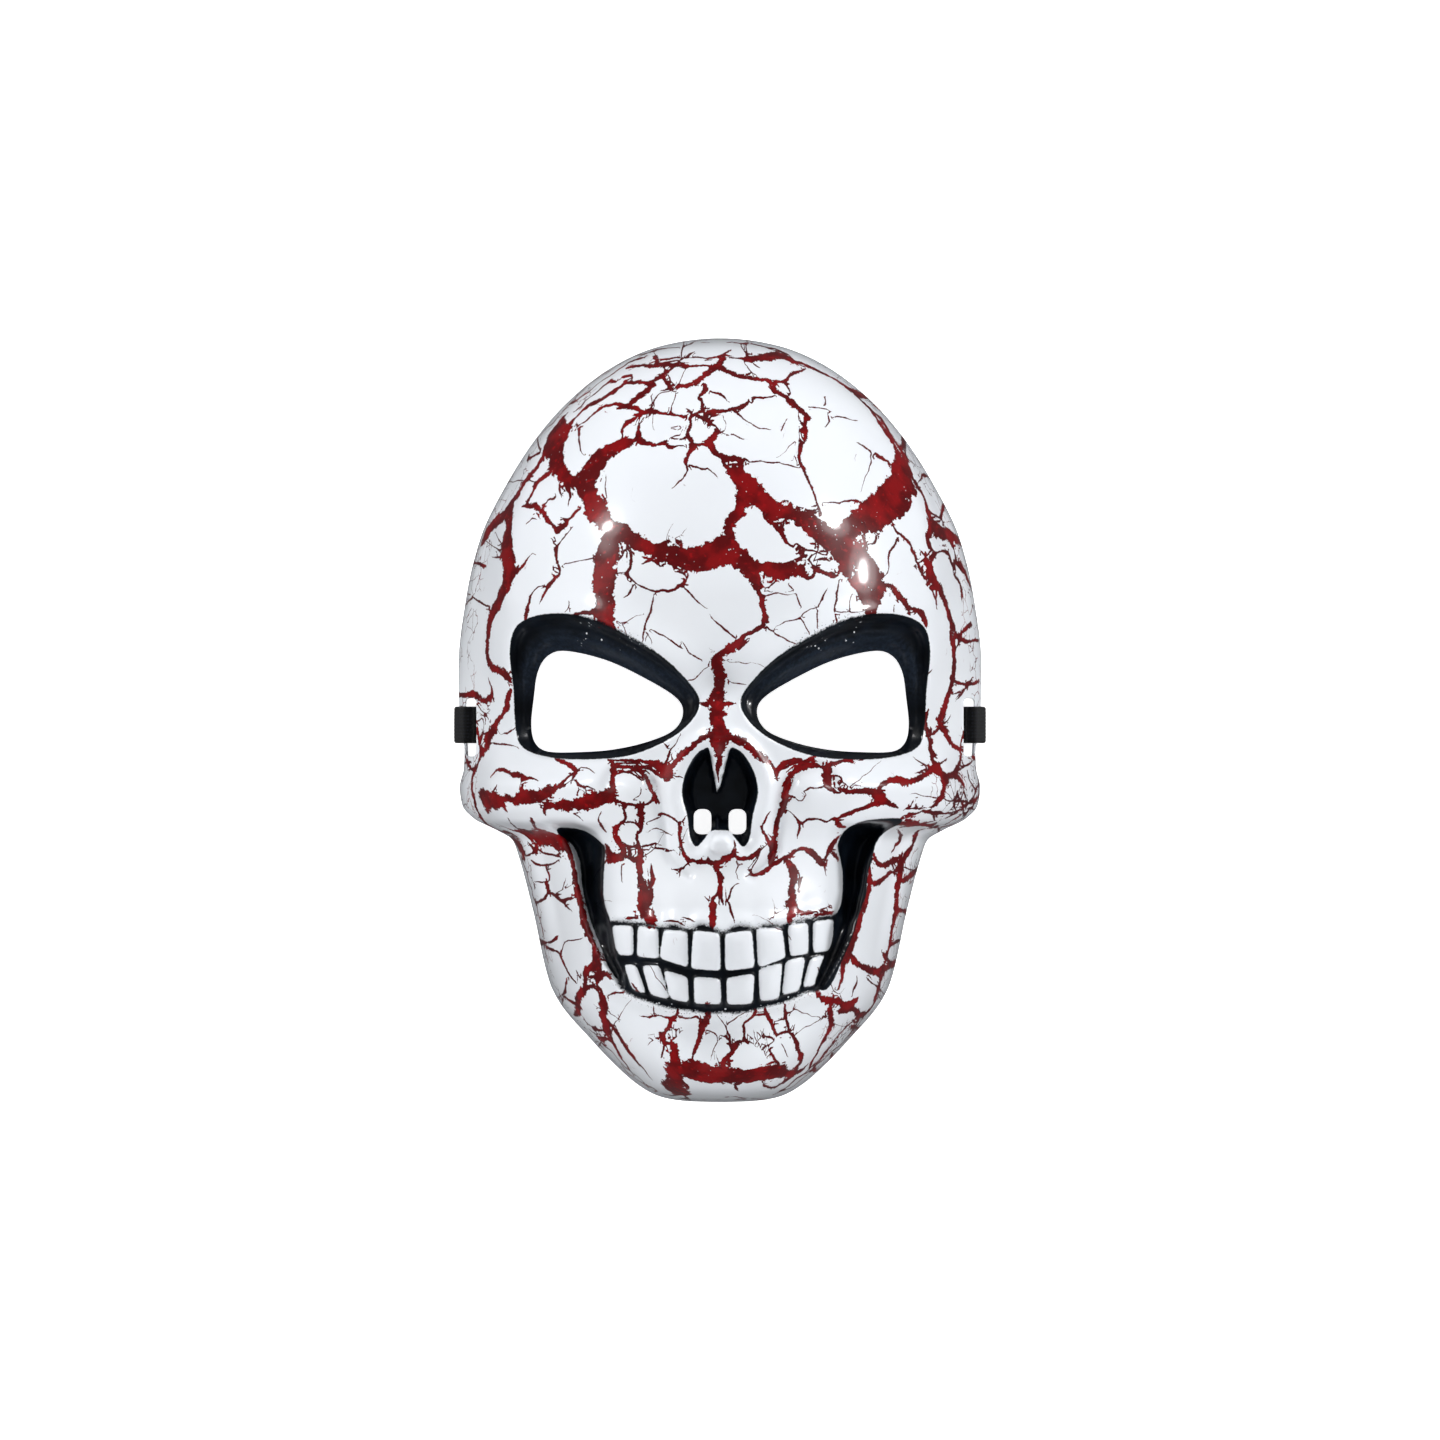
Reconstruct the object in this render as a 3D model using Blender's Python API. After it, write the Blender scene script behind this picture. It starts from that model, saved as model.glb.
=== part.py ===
"""Full-face skull mask: one moulded plastic shell lying face up on its rim, and its elastic strap.

The mask's own frame: +X to the picture's right, +Y to the crown, +Z out of the face.
All shapes are worked out in millimetres and scaled to metres when a mesh is made.
"""

import bpy
import numpy as np

MM = 0.001
TINY = 1e-6

# Driving dimensions of the shell
HALF_HEIGHT = 125.0
WALL = 1.2
RIM_RELIEF = 2.4
RELIEF_CENTRE_Y = -1.6
RELIEF_FLAT = 8.0
RELIEF_FADE = 10.0

# Driving dimensions of the strap and its slots
STRAP_WIDTH = 12.0
STRAP_THICK = 1.2
STRAP_Y = -1.6
SLOT_IN = 79.6
SLOT_OUT = 83.0
SLOT_LENGTH = 19.0
SLOT_Y = -2.4
SLOT_CORNER = 1.2

# Cross-sections from crown to chin. Each row: Y, half width, height on the middle line,
# then the two powers of the section z = height * (1 - |x / half width| ** flat) ** (1 / round)
SECTIONS = np.array([
    # Y, half width, height, flat, round
    (125.0, 0.0, 0.0, 2.0, 2.0),
    (121.0, 24.0, 27.0, 2.0, 2.0),
    (110.7, 42.3, 44.0, 2.1, 1.9),
    (96.0, 57.3, 58.0, 2.2, 1.8),
    (77.5, 69.7, 69.0, 2.3, 1.7),
    (59.0, 78.6, 76.0, 2.4, 1.6),
    (40.0, 83.1, 80.0, 2.4, 1.4),
    (18.0, 85.6, 80.0, 2.3, 1.2),
    (0.0, 85.2, 78.0, 2.2, 1.1),
    (-10.4, 83.6, 77.0, 2.3, 1.2),
    (-16.0, 83.9, 77.0, 2.4, 1.3),
    (-22.0, 85.2, 77.0, 2.5, 1.4),
    (-27.8, 84.4, 77.0, 2.5, 1.4),
    (-32.3, 80.5, 76.5, 2.5, 1.4),
    (-36.0, 73.2, 76.0, 2.5, 1.4),
    (-39.2, 68.0, 76.0, 2.5, 1.4),
    (-43.0, 66.4, 76.0, 2.5, 1.4),
    (-61.5, 61.4, 77.0, 2.5, 1.5),
    (-85.8, 55.8, 75.0, 2.4, 1.7),
    (-92.0, 52.8, 73.0, 2.4, 1.8),
    (-104.4, 42.4, 69.0, 2.3, 1.9),
    (-112.5, 34.7, 65.0, 2.2, 2.0),
    (-119.4, 26.8, 57.0, 2.1, 2.0),
    (-123.0, 20.3, 42.0, 2.0, 2.0),
    (-124.4, 14.0, 24.0, 2.0, 2.0),
    (-125.0, 0.0, 0.0, 2.0, 2.0),
])

# Outlines on the +X side, seen from the front, as (X, Y) of a smooth closed curve
EYE_HOLE = (
    (50.0, 22.4), (56.0, 20.8), (59.3, 15.5), (60.6, 7.0), (61.4, -1.5),
    (60.2, -7.3), (56.0, -10.2), (46.0, -10.4), (35.0, -9.6), (24.0, -7.2),
    (15.2, -3.4), (12.0, 2.0), (14.2, 7.2), (24.5, 13.6), (37.0, 19.4),
)
SOCKET_BORDER = (
    (68.4, 22.0), (66.5, 30.0), (60.0, 33.8), (50.0, 34.5), (40.0, 32.4), (30.0, 27.6),
    (20.0, 21.5), (12.0, 14.4), (6.6, 6.4), (9.5, -0.6), (17.5, -6.8), (30.0, -11.6),
    (45.0, -12.8), (57.0, -11.8), (64.5, -8.6), (66.6, -2.0), (67.2, 10.0),
)
NOSE_BORDER_HALF = (
    (0.0, -9.2), (3.2, -8.6), (7.4, -10.8), (11.0, -16.8), (12.3, -23.5), (10.6, -31.0),
    (9.6, -38.0), (7.6, -41.0), (5.2, -38.6), (3.0, -36.0), (0.0, -35.6),
)

# Eye sockets: a bowl in two steps, deeper under the brow than over the cheek
SOCKET_DEPTH_TOP = 13.0
SOCKET_DEPTH_BOTTOM = 5.0
SOCKET_TURN_Y = (-8.0, 24.0)
SOCKET_STEPS = (
    # share of the depth, from and to as shares of the way from the border to the hole
    (0.55, 0.0, 0.42),
    (0.45, 0.5, 1.0),
)
BROW_RISE = 3.2
BROW_REACH = 7.0

# Nose: hollow, blade between its halves, ball under it and two nostril holes
NOSE_DEPTH = 11.0
NOSE_WALL = 3.6
BLADE_TOP_Y = -9.0
BLADE_TIP_Y = -24.2
BLADE_HALF = 3.2
BLADE_CREST = 0.3
BLADE_HEIGHT_SHARE = 0.85
NOSE_LIP_RISE, NOSE_LIP_OUT, NOSE_LIP_REACH = 1.5, 3.0, 2.6
BALL_Y = -39.6
BALL_RADIUS = 3.6
NOSTRIL_X = 5.65
NOSTRIL_Y = -32.9
NOSTRIL_SIZE = (5.7, 8.1)
NOSTRIL_CORNER = 2.2
CUTTER_REACH = (-20.0, 120.0)
EYE_HOLE_STEPS, NOSTRIL_CORNER_STEPS, SLOT_CORNER_STEPS = 2, 3, 2
BORDER_STEPS = 4

# Swellings and dips on the middle line: bridge of the nose, dip between the brows, upper jaw,
# crease over the chin, and chin
MIDDLE_SWELLINGS = (
    # rise, reach in X, centre Y, reach in Y
    (4.0, 9.0, -5.0, 9.0),
    (-5.0, 14.0, 12.0, 7.0),
    (7.0, 33.0, -68.0, 27.0),
    (-3.0, 34.0, -97.0, 5.0),
    (5.0, 24.0, -110.0, 9.0),
)

# Cheekbone: a bar across, and the drop under its lower edge
BAR_RISE, BAR_Y, BAR_REACH = 5.0, -21.0, 10.0
BAR_FROM_X, BAR_TO_X = 18.0, 46.0
DROP = 6.0
DROP_EDGE_Y = (-32.5, -37.5)
DROP_FADE_Y = (-62.0, -92.0)
DROP_FROM_X, DROP_TO_X = 33.0, 43.0

# Cheek hollow, a crescent between the jaw's bar and the teeth, as rows down the face
CHEEK_HOLLOW = np.array([
    # Y, inner X, outer X, depth
    (-33.5, 45.0, 57.0, 5.0),
    (-37.0, 40.0, 52.5, 12.0),
    (-42.0, 37.8, 49.2, 14.0),
    (-48.0, 38.4, 47.0, 14.0),
    (-55.0, 38.6, 46.0, 13.0),
    (-62.0, 36.9, 44.2, 12.0),
    (-70.0, 35.0, 41.8, 10.0),
    (-76.3, 34.0, 39.0, 8.0),
    (-82.0, 31.6, 35.8, 5.0),
    (-86.0, 30.7, 33.2, 2.0),
])
HOLLOW_TOP_Y = (-31.5, -35.0)
HOLLOW_END_Y = (-89.0, -84.0)
HOLLOW_SIDES = (0.35, 1.15)

# All relief fades out before the rim, over these shares of the half width
RELIEF_FADE_SHARES = (0.86, 0.97)

# Teeth, on the mouth's own lines: gaps at shares of the half width, rows at heights on the middle line
TOOTH_GAPS = (0.0, 0.168, 0.333, 0.47, 0.6)
GAP_HALF = 0.03
GUM_LINE, BITE_LINE, LOWER_GUM_LINE = -67.0, -81.0, -93.0
LINE_HALF = 1.8
TOOTH_RISE = 2.0
GUM_REACH = 6.0
GUM_END = 0.04
WIDE_TEETH = 2
SMILE_RISE = 6.2
SMILE_LINES = (-64.0, -80.0, -93.0, -106.0)

# Lines of the mesh: heights on the middle line where rows run, and where its end patches start
CROWN_PATCH_Y, CROWN_CORNER_Y = 90.0, 112.0
CHIN_PATCH_Y, CHIN_CORNER_Y = -101.0, -113.0
CROWN_ROWS, CHIN_ROWS = 7, 6
FACE_ROW_RUNS = (
    # from Y, to Y, rows
    (90.0, 43.0, 5),
    (43.0, -12.0, 11),
    (-12.0, -44.0, 10),
    (-44.0, -63.5, 4),
)
TOOTH_ROWS = (-65.2, -67.0, -68.8, -74.0, -79.2, -81.0, -82.8, -87.0, -91.2, -93.0, -94.8, -101.0)
SIDE_COLUMNS = 7
END_CROWDING = 1.6
ARC_SAMPLES = 200

# The strap's middle line. Its plan, as it lies on the floor inside the hollow
STRAP_PLAN = np.array([
    # X, Y
    (0.0, -49.8), (18.0, -47.8), (36.0, -41.5), (50.0, -32.5),
    (61.0, -24.0), (67.0, -14.5), (72.5, -5.6), (78.0, STRAP_Y),
])
# Its side view from there: out under the rim, up round the bridge, in by the slot and back on itself
STRAP_FLOOR_Z = 0.62
STRAP_LOOP = (
    # X, Z
    (78.0, 0.62), (82.0, 0.62), (85.25, 0.77), (86.5, 1.72), (86.1, 3.3), (83.9, 7.97), (83.1, 8.87),
    (81.4, 8.32), (80.95, 5.62), (80.0, 2.92), (76.5, 1.92), (72.0, 1.92), (66.0, 1.92),
)
STRAP_STEPS = 3
SLOPE_STEP = 0.05


def smoothstep(low, high, value):
    """Rises from 0 at low to 1 at high, level at both ends."""
    t = np.clip((value - low) / (high - low), 0.0, 1.0)
    return t * t * (3.0 - 2.0 * t)


def through(at, places, values):
    """A smooth curve through a table's values: cubic spans that never overshoot."""
    order = np.argsort(places)
    p, v = np.asarray(places, float)[order], np.asarray(values, float)[order]
    step = np.diff(p)
    slope = np.diff(v) / step
    inner = np.where(
        slope[:-1] * slope[1:] > 0.0,
        2.0 * slope[:-1] * slope[1:] / np.where(slope[:-1] + slope[1:] == 0.0, 1.0, slope[:-1] + slope[1:]),
        0.0,
    )
    tangent = np.concatenate([[slope[0]], inner, [slope[-1]]])
    at = np.clip(at, p[0], p[-1])
    i = np.clip(np.searchsorted(p, at, side="right") - 1, 0, len(p) - 2)
    t = (at - p[i]) / step[i]
    return (
        v[i] * (1 + 2 * t) * (1 - t) ** 2
        + v[i + 1] * t**2 * (3 - 2 * t)
        + step[i] * (tangent[i] * t * (1 - t) ** 2 + tangent[i + 1] * t**2 * (t - 1))
    )


def half_width(y):
    """The outline's half width, from its square, which runs straight into the crown and the chin."""
    return np.sqrt(np.maximum(through(y, SECTIONS[:, 0], SECTIONS[:, 1] ** 2), 0.0))


def middle_height(y):
    """The plain form's height on the middle line, from its square."""
    return np.sqrt(np.maximum(through(y, SECTIONS[:, 0], SECTIONS[:, 2] ** 2), 0.0))


def closed_curve(points, steps):
    """Points along a smooth closed curve through a table of points."""
    p = np.asarray(points, float)
    before, after, beyond = np.roll(p, 1, 0), np.roll(p, -1, 0), np.roll(p, -2, 0)
    t = (np.arange(steps) / steps)[None, :, None]
    spans = 0.5 * (
        2 * p[:, None]
        + (after - before)[:, None] * t
        + (2 * before - 5 * p + 4 * after - beyond)[:, None] * t**2
        + (3 * p - before - 3 * after + beyond)[:, None] * t**3
    )
    return spans.reshape(-1, 2)


def mirrored(half):
    """A closed outline from its +X half, whose first and last points are on the middle line."""
    return tuple(half) + tuple((-x, y) for x, y in half[-2:0:-1])


def depth_inside(outline, x, y):
    """Distance to an outline, positive inside it and negative outside."""
    start, end = outline, np.roll(outline, -1, 0)
    run = end - start
    px, py = x[..., None] - start[:, 0], y[..., None] - start[:, 1]
    t = np.clip((px * run[:, 0] + py * run[:, 1]) / (run**2).sum(1), 0.0, 1.0)
    away = np.hypot(px - t * run[:, 0], py - t * run[:, 1]).min(-1)
    above = start[:, 1] > y[..., None]
    rise = np.where(run[:, 1] == 0.0, 1.0, run[:, 1])
    crosses = (above != np.roll(above, -1, -1)) & (px < run[:, 0] * py / rise)
    return np.where(crosses.sum(-1) % 2 == 1, away, -away)


def hump(value, reach):
    """A bell: 1 at 0, and nearly 0 past twice its reach."""
    return np.exp(-((value / reach) ** 2))


def plain_form(x, y):
    """The bare skull: the section table's curves, standing on the rim."""
    width = np.maximum(half_width(y), TINY)
    share = np.clip(np.abs(x) / width, 0.0, 1.0)
    flat = through(y, SECTIONS[:, 0], SECTIONS[:, 3])
    roundness = through(y, SECTIONS[:, 0], SECTIONS[:, 4])
    off_slot = np.abs(y - RELIEF_CENTRE_Y)
    rim = RIM_RELIEF * (1.0 - smoothstep(RELIEF_FLAT, RELIEF_FLAT + RELIEF_FADE, off_slot))
    return rim + np.maximum(middle_height(y) - rim, 0.0) * (1.0 - share**flat) ** (1.0 / roundness)


def eye_socket(x, y):
    """A brow that rises round the border, and a bowl in two steps from the border to the hole."""
    inside = depth_inside(closed_curve(SOCKET_BORDER, BORDER_STEPS), x, y)
    to_hole = np.maximum(-depth_inside(closed_curve(EYE_HOLE, BORDER_STEPS), x, y), 0.0)
    share = np.clip(inside / np.maximum(inside + to_hole, TINY), 0.0, 1.0)
    steps = sum(part * smoothstep(start, end, share) for part, start, end in SOCKET_STEPS)
    turn = smoothstep(*SOCKET_TURN_Y, y)
    depth = SOCKET_DEPTH_BOTTOM + (SOCKET_DEPTH_TOP - SOCKET_DEPTH_BOTTOM) * turn
    brow = BROW_RISE * turn * hump(np.minimum(inside, 0.0), BROW_REACH)
    return np.where(inside > 0.0, BROW_RISE * turn - depth * steps, brow)


def nose(x, y):
    """A lipped hollow with a blade down its middle and a ball under it."""
    inside = depth_inside(closed_curve(mirrored(NOSE_BORDER_HALF), BORDER_STEPS), x, y)
    down = smoothstep(0.0, NOSE_WALL, inside)
    blade_share = np.clip((y - BLADE_TIP_Y) / (BLADE_TOP_Y - BLADE_TIP_Y), 0.0, 1.0)
    blade = 1.0 - smoothstep(BLADE_CREST, 1.0, np.abs(x) / (BLADE_HALF * blade_share + TINY))
    ball = np.sqrt(np.maximum(1.0 - (x**2 + (y - BALL_Y) ** 2) / BALL_RADIUS**2, 0.0))
    lip = NOSE_LIP_RISE * hump(inside + NOSE_LIP_OUT, NOSE_LIP_REACH)
    return lip - NOSE_DEPTH * down * (1.0 - BLADE_HEIGHT_SHARE * blade) + BALL_RADIUS * ball


def cheeks(x, y):
    """The cheekbone's bar, the drop under it, and the hollow beside the teeth."""
    bar = BAR_RISE * hump(y - BAR_Y, BAR_REACH) * smoothstep(BAR_FROM_X, BAR_TO_X, x)
    under = smoothstep(*DROP_EDGE_Y, y) * (1.0 - smoothstep(*DROP_FADE_Y, y))
    drop = DROP * under * smoothstep(DROP_FROM_X, DROP_TO_X, x)
    rows = CHEEK_HOLLOW[:, 0]
    inner, outer, depth = (through(y, rows, CHEEK_HOLLOW[:, k]) for k in (1, 2, 3))
    across = (x - (inner + outer) / 2.0) / ((outer - inner) / 2.0)
    ends = smoothstep(*HOLLOW_TOP_Y, y) * smoothstep(*HOLLOW_END_Y, y)
    return bar - drop - depth * ends * (1.0 - smoothstep(*HOLLOW_SIDES, np.abs(across)))


def middle_swellings(x, y):
    """The soft forms along the middle line, each a bell in X and in Y."""
    return sum(rise * hump(x, wide) * hump(y - at, tall) for rise, wide, at, tall in MIDDLE_SWELLINGS)


def teeth(column, line):
    """Two rows of tiles, raised between the gaps, the gum lines and the bite line."""
    column = np.abs(column)
    off_gap = np.min([np.abs(column - gap) for gap in TOOTH_GAPS], axis=0)
    off_line = np.min([np.abs(line - at) for at in (GUM_LINE, BITE_LINE, LOWER_GUM_LINE)], axis=0)
    in_rows = (line < GUM_LINE) & (line > LOWER_GUM_LINE) & (column < TOOTH_GAPS[-1])
    clear_of_line = smoothstep(0.0, LINE_HALF, off_line)
    tile = smoothstep(0.0, GAP_HALF, off_gap) * clear_of_line
    past_gum = np.maximum(line - GUM_LINE, LOWER_GUM_LINE - line)
    beside = smoothstep(TOOTH_GAPS[-1] + GUM_END, TOOTH_GAPS[-1], column)
    gum = np.where(past_gum >= 0.0, 1.0 - smoothstep(0.0, GUM_REACH, past_gum), 0.0) * clear_of_line
    return TOOTH_RISE * np.where(in_rows, tile, gum * beside)


def mask_height(x, y, column, line):
    """The whole outer face: the bare skull and everything raised or sunk in it."""
    side = np.abs(x)
    relief = eye_socket(side, y) + nose(x, y) + cheeks(side, y) + middle_swellings(x, y)
    share = side / np.maximum(half_width(y), TINY)
    fade = 1.0 - smoothstep(*RELIEF_FADE_SHARES, share)
    return plain_form(x, y) + fade * relief + teeth(column, line)


def outline_arc(corner_y, end_y, share):
    """Points on the outline's end arc: share 0 on the middle line, 1 or -1 at a corner."""
    t = np.linspace(0.0, 1.0, ARC_SAMPLES)
    y = end_y + (corner_y - end_y) * t**2
    x = half_width(y)
    along = np.concatenate([[0.0], np.cumsum(np.hypot(np.diff(x), np.diff(y)))])
    at = np.abs(share) * along[-1]
    return np.sign(share) * np.interp(at, along, x), np.interp(at, along, y)


def end_patch(columns, rows, patch_y, corner_y, end_y):
    """A four-sided patch between the outline's end arc (row 0) and the straight line at patch_y."""
    c, t = columns[None, :], rows[:, None]
    arc_x, arc_y = (v[None, :] for v in outline_arc(corner_y, end_y, columns))
    line_x, side_y = columns[None, :] * half_width(patch_y), corner_y + (patch_y - corner_y) * t
    corner_x, side_x = half_width(corner_y), half_width(side_y)
    x = (1 - t) * arc_x + t * line_x + c * (side_x - (1 - t) * corner_x - t * half_width(patch_y))
    y = (1 - t) * arc_y + t * patch_y + side_y - (1 - t) * corner_y - t * patch_y
    return x, y, end_y + (patch_y - end_y) * t + 0.0 * c


def smile(columns, lines):
    """How far a row near the mouth climbs towards the side, so rows follow the bite."""
    top, high, low, bottom = SMILE_LINES
    amount = smoothstep(top, high, lines) * smoothstep(bottom, low, lines)
    climb = np.sin(0.5 * np.pi * np.minimum(np.abs(columns) / TOOTH_GAPS[-1], 1.0)) ** 2
    return SMILE_RISE * amount[:, None] * climb[None, :]


def column_shares():
    """Columns at the tooth gaps, both their edges and between them, then closer to the rim."""
    half = []
    for gap in TOOTH_GAPS:
        half += [gap - GAP_HALF, gap, gap + GAP_HALF]
    half += [(TOOTH_GAPS[k] + TOOTH_GAPS[k + 1]) / 2 for k in range(WIDE_TEETH)]
    last = TOOTH_GAPS[-1] + GAP_HALF
    t = np.arange(1, SIDE_COLUMNS + 1) / SIDE_COLUMNS
    half += list(last + (1.0 - last) * 0.5 * (t + np.sin(0.5 * np.pi * t)))
    half = np.array(sorted(v for v in half if v > 0.0))
    return np.concatenate([-half[::-1], [0.0], half])


def mask_grid():
    """X, Y, column and line of every grid point, rows from crown to chin."""
    columns = column_shares()
    crown = (np.arange(CROWN_ROWS) / CROWN_ROWS) ** END_CROWDING
    chin = (np.arange(CHIN_ROWS) / CHIN_ROWS) ** END_CROWDING
    lines = np.concatenate(
        [np.linspace(a, b, n, endpoint=False) for a, b, n in FACE_ROW_RUNS]
        + [[FACE_ROW_RUNS[-1][1]], TOOTH_ROWS]
    )
    y = lines[:, None] + smile(columns, lines)
    x = columns[None, :] * half_width(y)
    middle = (x, y, lines[:, None] + 0.0 * x)
    top = end_patch(columns, crown, CROWN_PATCH_Y, CROWN_CORNER_Y, HALF_HEIGHT)
    bottom = end_patch(columns, chin, CHIN_PATCH_Y, CHIN_CORNER_Y, -HALF_HEIGHT)
    x, y, line = (np.concatenate([a, b, c[::-1]]) for a, b, c in zip(top, middle, bottom))
    return x, y, columns[None, :] + 0.0 * x, line


def grid_normals(points):
    """Unit normals of a grid of points, from its rows' and columns' directions."""
    down, across = np.gradient(points, axis=0), np.gradient(points, axis=1)
    normal = np.cross(across, -down)
    return normal / np.linalg.norm(normal, axis=-1, keepdims=True)


def shell_points():
    """The outer grid, and the inner grid a wall's thickness behind it, both ending on the rim."""
    x, y, column, line = mask_grid()
    outer = np.stack([x, y, mask_height(x, y, column, line)], axis=-1)
    edge = np.ones(x.shape, bool)
    edge[1:-1, 1:-1] = False
    outer[..., 2][edge] = plain_form(np.sign(x) * half_width(y), y)[edge]
    outer[[0, -1], :, 2] = 0.0
    bare = outer.copy()
    bare[..., 2] -= teeth(column, line)
    normal = grid_normals(bare)
    flat = normal * (1.0, 1.0, 0.0)
    flat /= np.maximum(np.linalg.norm(flat, axis=-1, keepdims=True), TINY)
    inner = bare - WALL * np.where(edge[..., None], flat, normal)
    return outer, inner


def new_mesh_object(name, points, faces, material):
    """An object of that name, from points in millimetres."""
    mesh = bpy.data.meshes.new(name)
    mesh.from_pydata((np.asarray(points) * MM).tolist(), [], faces)
    mesh.materials.append(material)
    mesh.update()
    obj = bpy.data.objects.new(name, mesh)
    bpy.context.scene.collection.objects.link(obj)
    return obj


def plain_material(name, colour, roughness):
    """A plain opaque finish."""
    material = bpy.data.materials.new(name)
    material.use_nodes = True
    shader = material.node_tree.nodes["Principled BSDF"]
    shader.inputs["Base Color"].default_value = (*colour, 1.0)
    shader.inputs["Roughness"].default_value = roughness
    shader.inputs["Metallic"].default_value = 0.0
    return material


def split_quad(quad, turned):
    """Two triangles of a quad, along one diagonal or the other."""
    a, b, c, d = quad
    return [(a, b, d), (b, c, d)] if turned else [(a, b, c), (a, c, d)]


def grid_faces(rows, columns, first, flip):
    """Triangles of a grid numbered along its rows, with diagonals that mirror left to right."""
    faces = []
    for r in range(rows - 1):
        for c in range(columns - 1):
            a = first + r * columns + c
            quad = (a, a + columns, a + columns + 1, a + 1)
            for triangle in split_quad(quad, c >= columns // 2):
                faces.append(triangle[::-1] if flip else triangle)
    return faces


def rim_loop(rows, columns):
    """Point numbers round a grid's edge."""
    top = [(0, c) for c in range(columns)]
    right = [(r, columns - 1) for r in range(1, rows)]
    bottom = [(rows - 1, c) for c in range(columns - 2, -1, -1)]
    left = [(r, 0) for r in range(rows - 2, 0, -1)]
    return [r * columns + c for r, c in top + right + bottom + left]


def make_shell(material):
    """The moulded shell: the outer grid, the inner grid and the rim that joins them."""
    outer, inner = shell_points()
    rows, columns = outer.shape[:2]
    count = rows * columns
    faces = grid_faces(rows, columns, 0, False) + grid_faces(rows, columns, count, True)
    loop = rim_loop(rows, columns)
    for a, b in zip(loop, loop[1:] + loop[:1]):
        faces += split_quad((a, b, b + count, a + count), False)
    points = np.concatenate([outer.reshape(-1, 3), inner.reshape(-1, 3)])
    shell = new_mesh_object("mask_shell", points, faces, material)
    shell.data.shade_smooth()
    return shell


def make_cutter(name, outlines, low, high, material):
    """One object of prisms over outlines that run anticlockwise, from height low to high."""
    points, faces = [], []
    for outline in outlines:
        first, n = len(points), len(outline)
        points += [(x, y, z) for z in (low, high) for x, y in outline]
        bottom = [first + k for k in range(n)]
        top = [k + n for k in bottom]
        faces += [tuple(bottom[::-1]), tuple(top)]
        faces += [(bottom[k - 1], bottom[k], top[k], top[k - 1]) for k in range(n)]
    cutter = new_mesh_object(name, points, faces, material)
    cutter.hide_render = True
    cutter.display_type = "WIRE"
    return cutter


def rounded_box(centre, size, corner, steps):
    """An anticlockwise outline of a box with round corners."""
    points = []
    for quarter, (sx, sy) in enumerate(((1, 1), (-1, 1), (-1, -1), (1, -1))):
        for k in range(steps + 1):
            angle = 0.5 * np.pi * (quarter + k / steps)
            points.append((
                centre[0] + sx * (size[0] / 2 - corner) + corner * np.cos(angle),
                centre[1] + sy * (size[1] / 2 - corner) + corner * np.sin(angle),
            ))
    return points


def anticlockwise(outline):
    """The same outline, turned round if it runs clockwise."""
    p = np.asarray(outline, float)
    q = np.roll(p, -1, 0)
    return p if (p[:, 0] * q[:, 1] - q[:, 0] * p[:, 1]).sum() > 0 else p[::-1]


def cut_openings(shell, material):
    """Eye holes, nostrils and strap slots, cut straight through along Z."""
    slot = ((SLOT_IN + SLOT_OUT) / 2, SLOT_Y)
    slot_size = (SLOT_OUT - SLOT_IN, SLOT_LENGTH)
    one_side = (
        closed_curve(EYE_HOLE, EYE_HOLE_STEPS),
        rounded_box((NOSTRIL_X, NOSTRIL_Y), NOSTRIL_SIZE, NOSTRIL_CORNER, NOSTRIL_CORNER_STEPS),
        rounded_box(slot, slot_size, SLOT_CORNER, SLOT_CORNER_STEPS),
    )
    outlines = [anticlockwise(np.asarray(o) * (sign, 1.0)) for o in one_side for sign in (1.0, -1.0)]
    modifier = shell.modifiers.new("cut_openings", "BOOLEAN")
    modifier.operation = "DIFFERENCE"
    modifier.solver = "EXACT"
    modifier.object = make_cutter("openings_cutter", outlines, *CUTTER_REACH, material)


def strap_path():
    """The middle line from one sewn end to the other."""
    run = [(x, STRAP_FLOOR_Z) for x in STRAP_PLAN[1:-1, 0]]
    half = np.array(run + list(STRAP_LOOP))
    line = np.concatenate([half[::-1] * (-1.0, 1.0), [(0.0, STRAP_FLOOR_Z)], half])
    before = np.concatenate([line[:1], line[:-1]])[:-1]
    start, end = line[:-1], line[1:]
    beyond = np.concatenate([line[1:], line[-1:]])[1:]
    t = (np.arange(STRAP_STEPS) / STRAP_STEPS)[None, :, None]
    spans = 0.5 * (
        2 * start[:, None]
        + (end - before)[:, None] * t
        + (2 * before - 5 * start + 4 * end - beyond)[:, None] * t**2
        + (3 * start - before - 3 * end + beyond)[:, None] * t**3
    )
    return np.concatenate([spans.reshape(-1, 2), line[-1:]])


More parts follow.
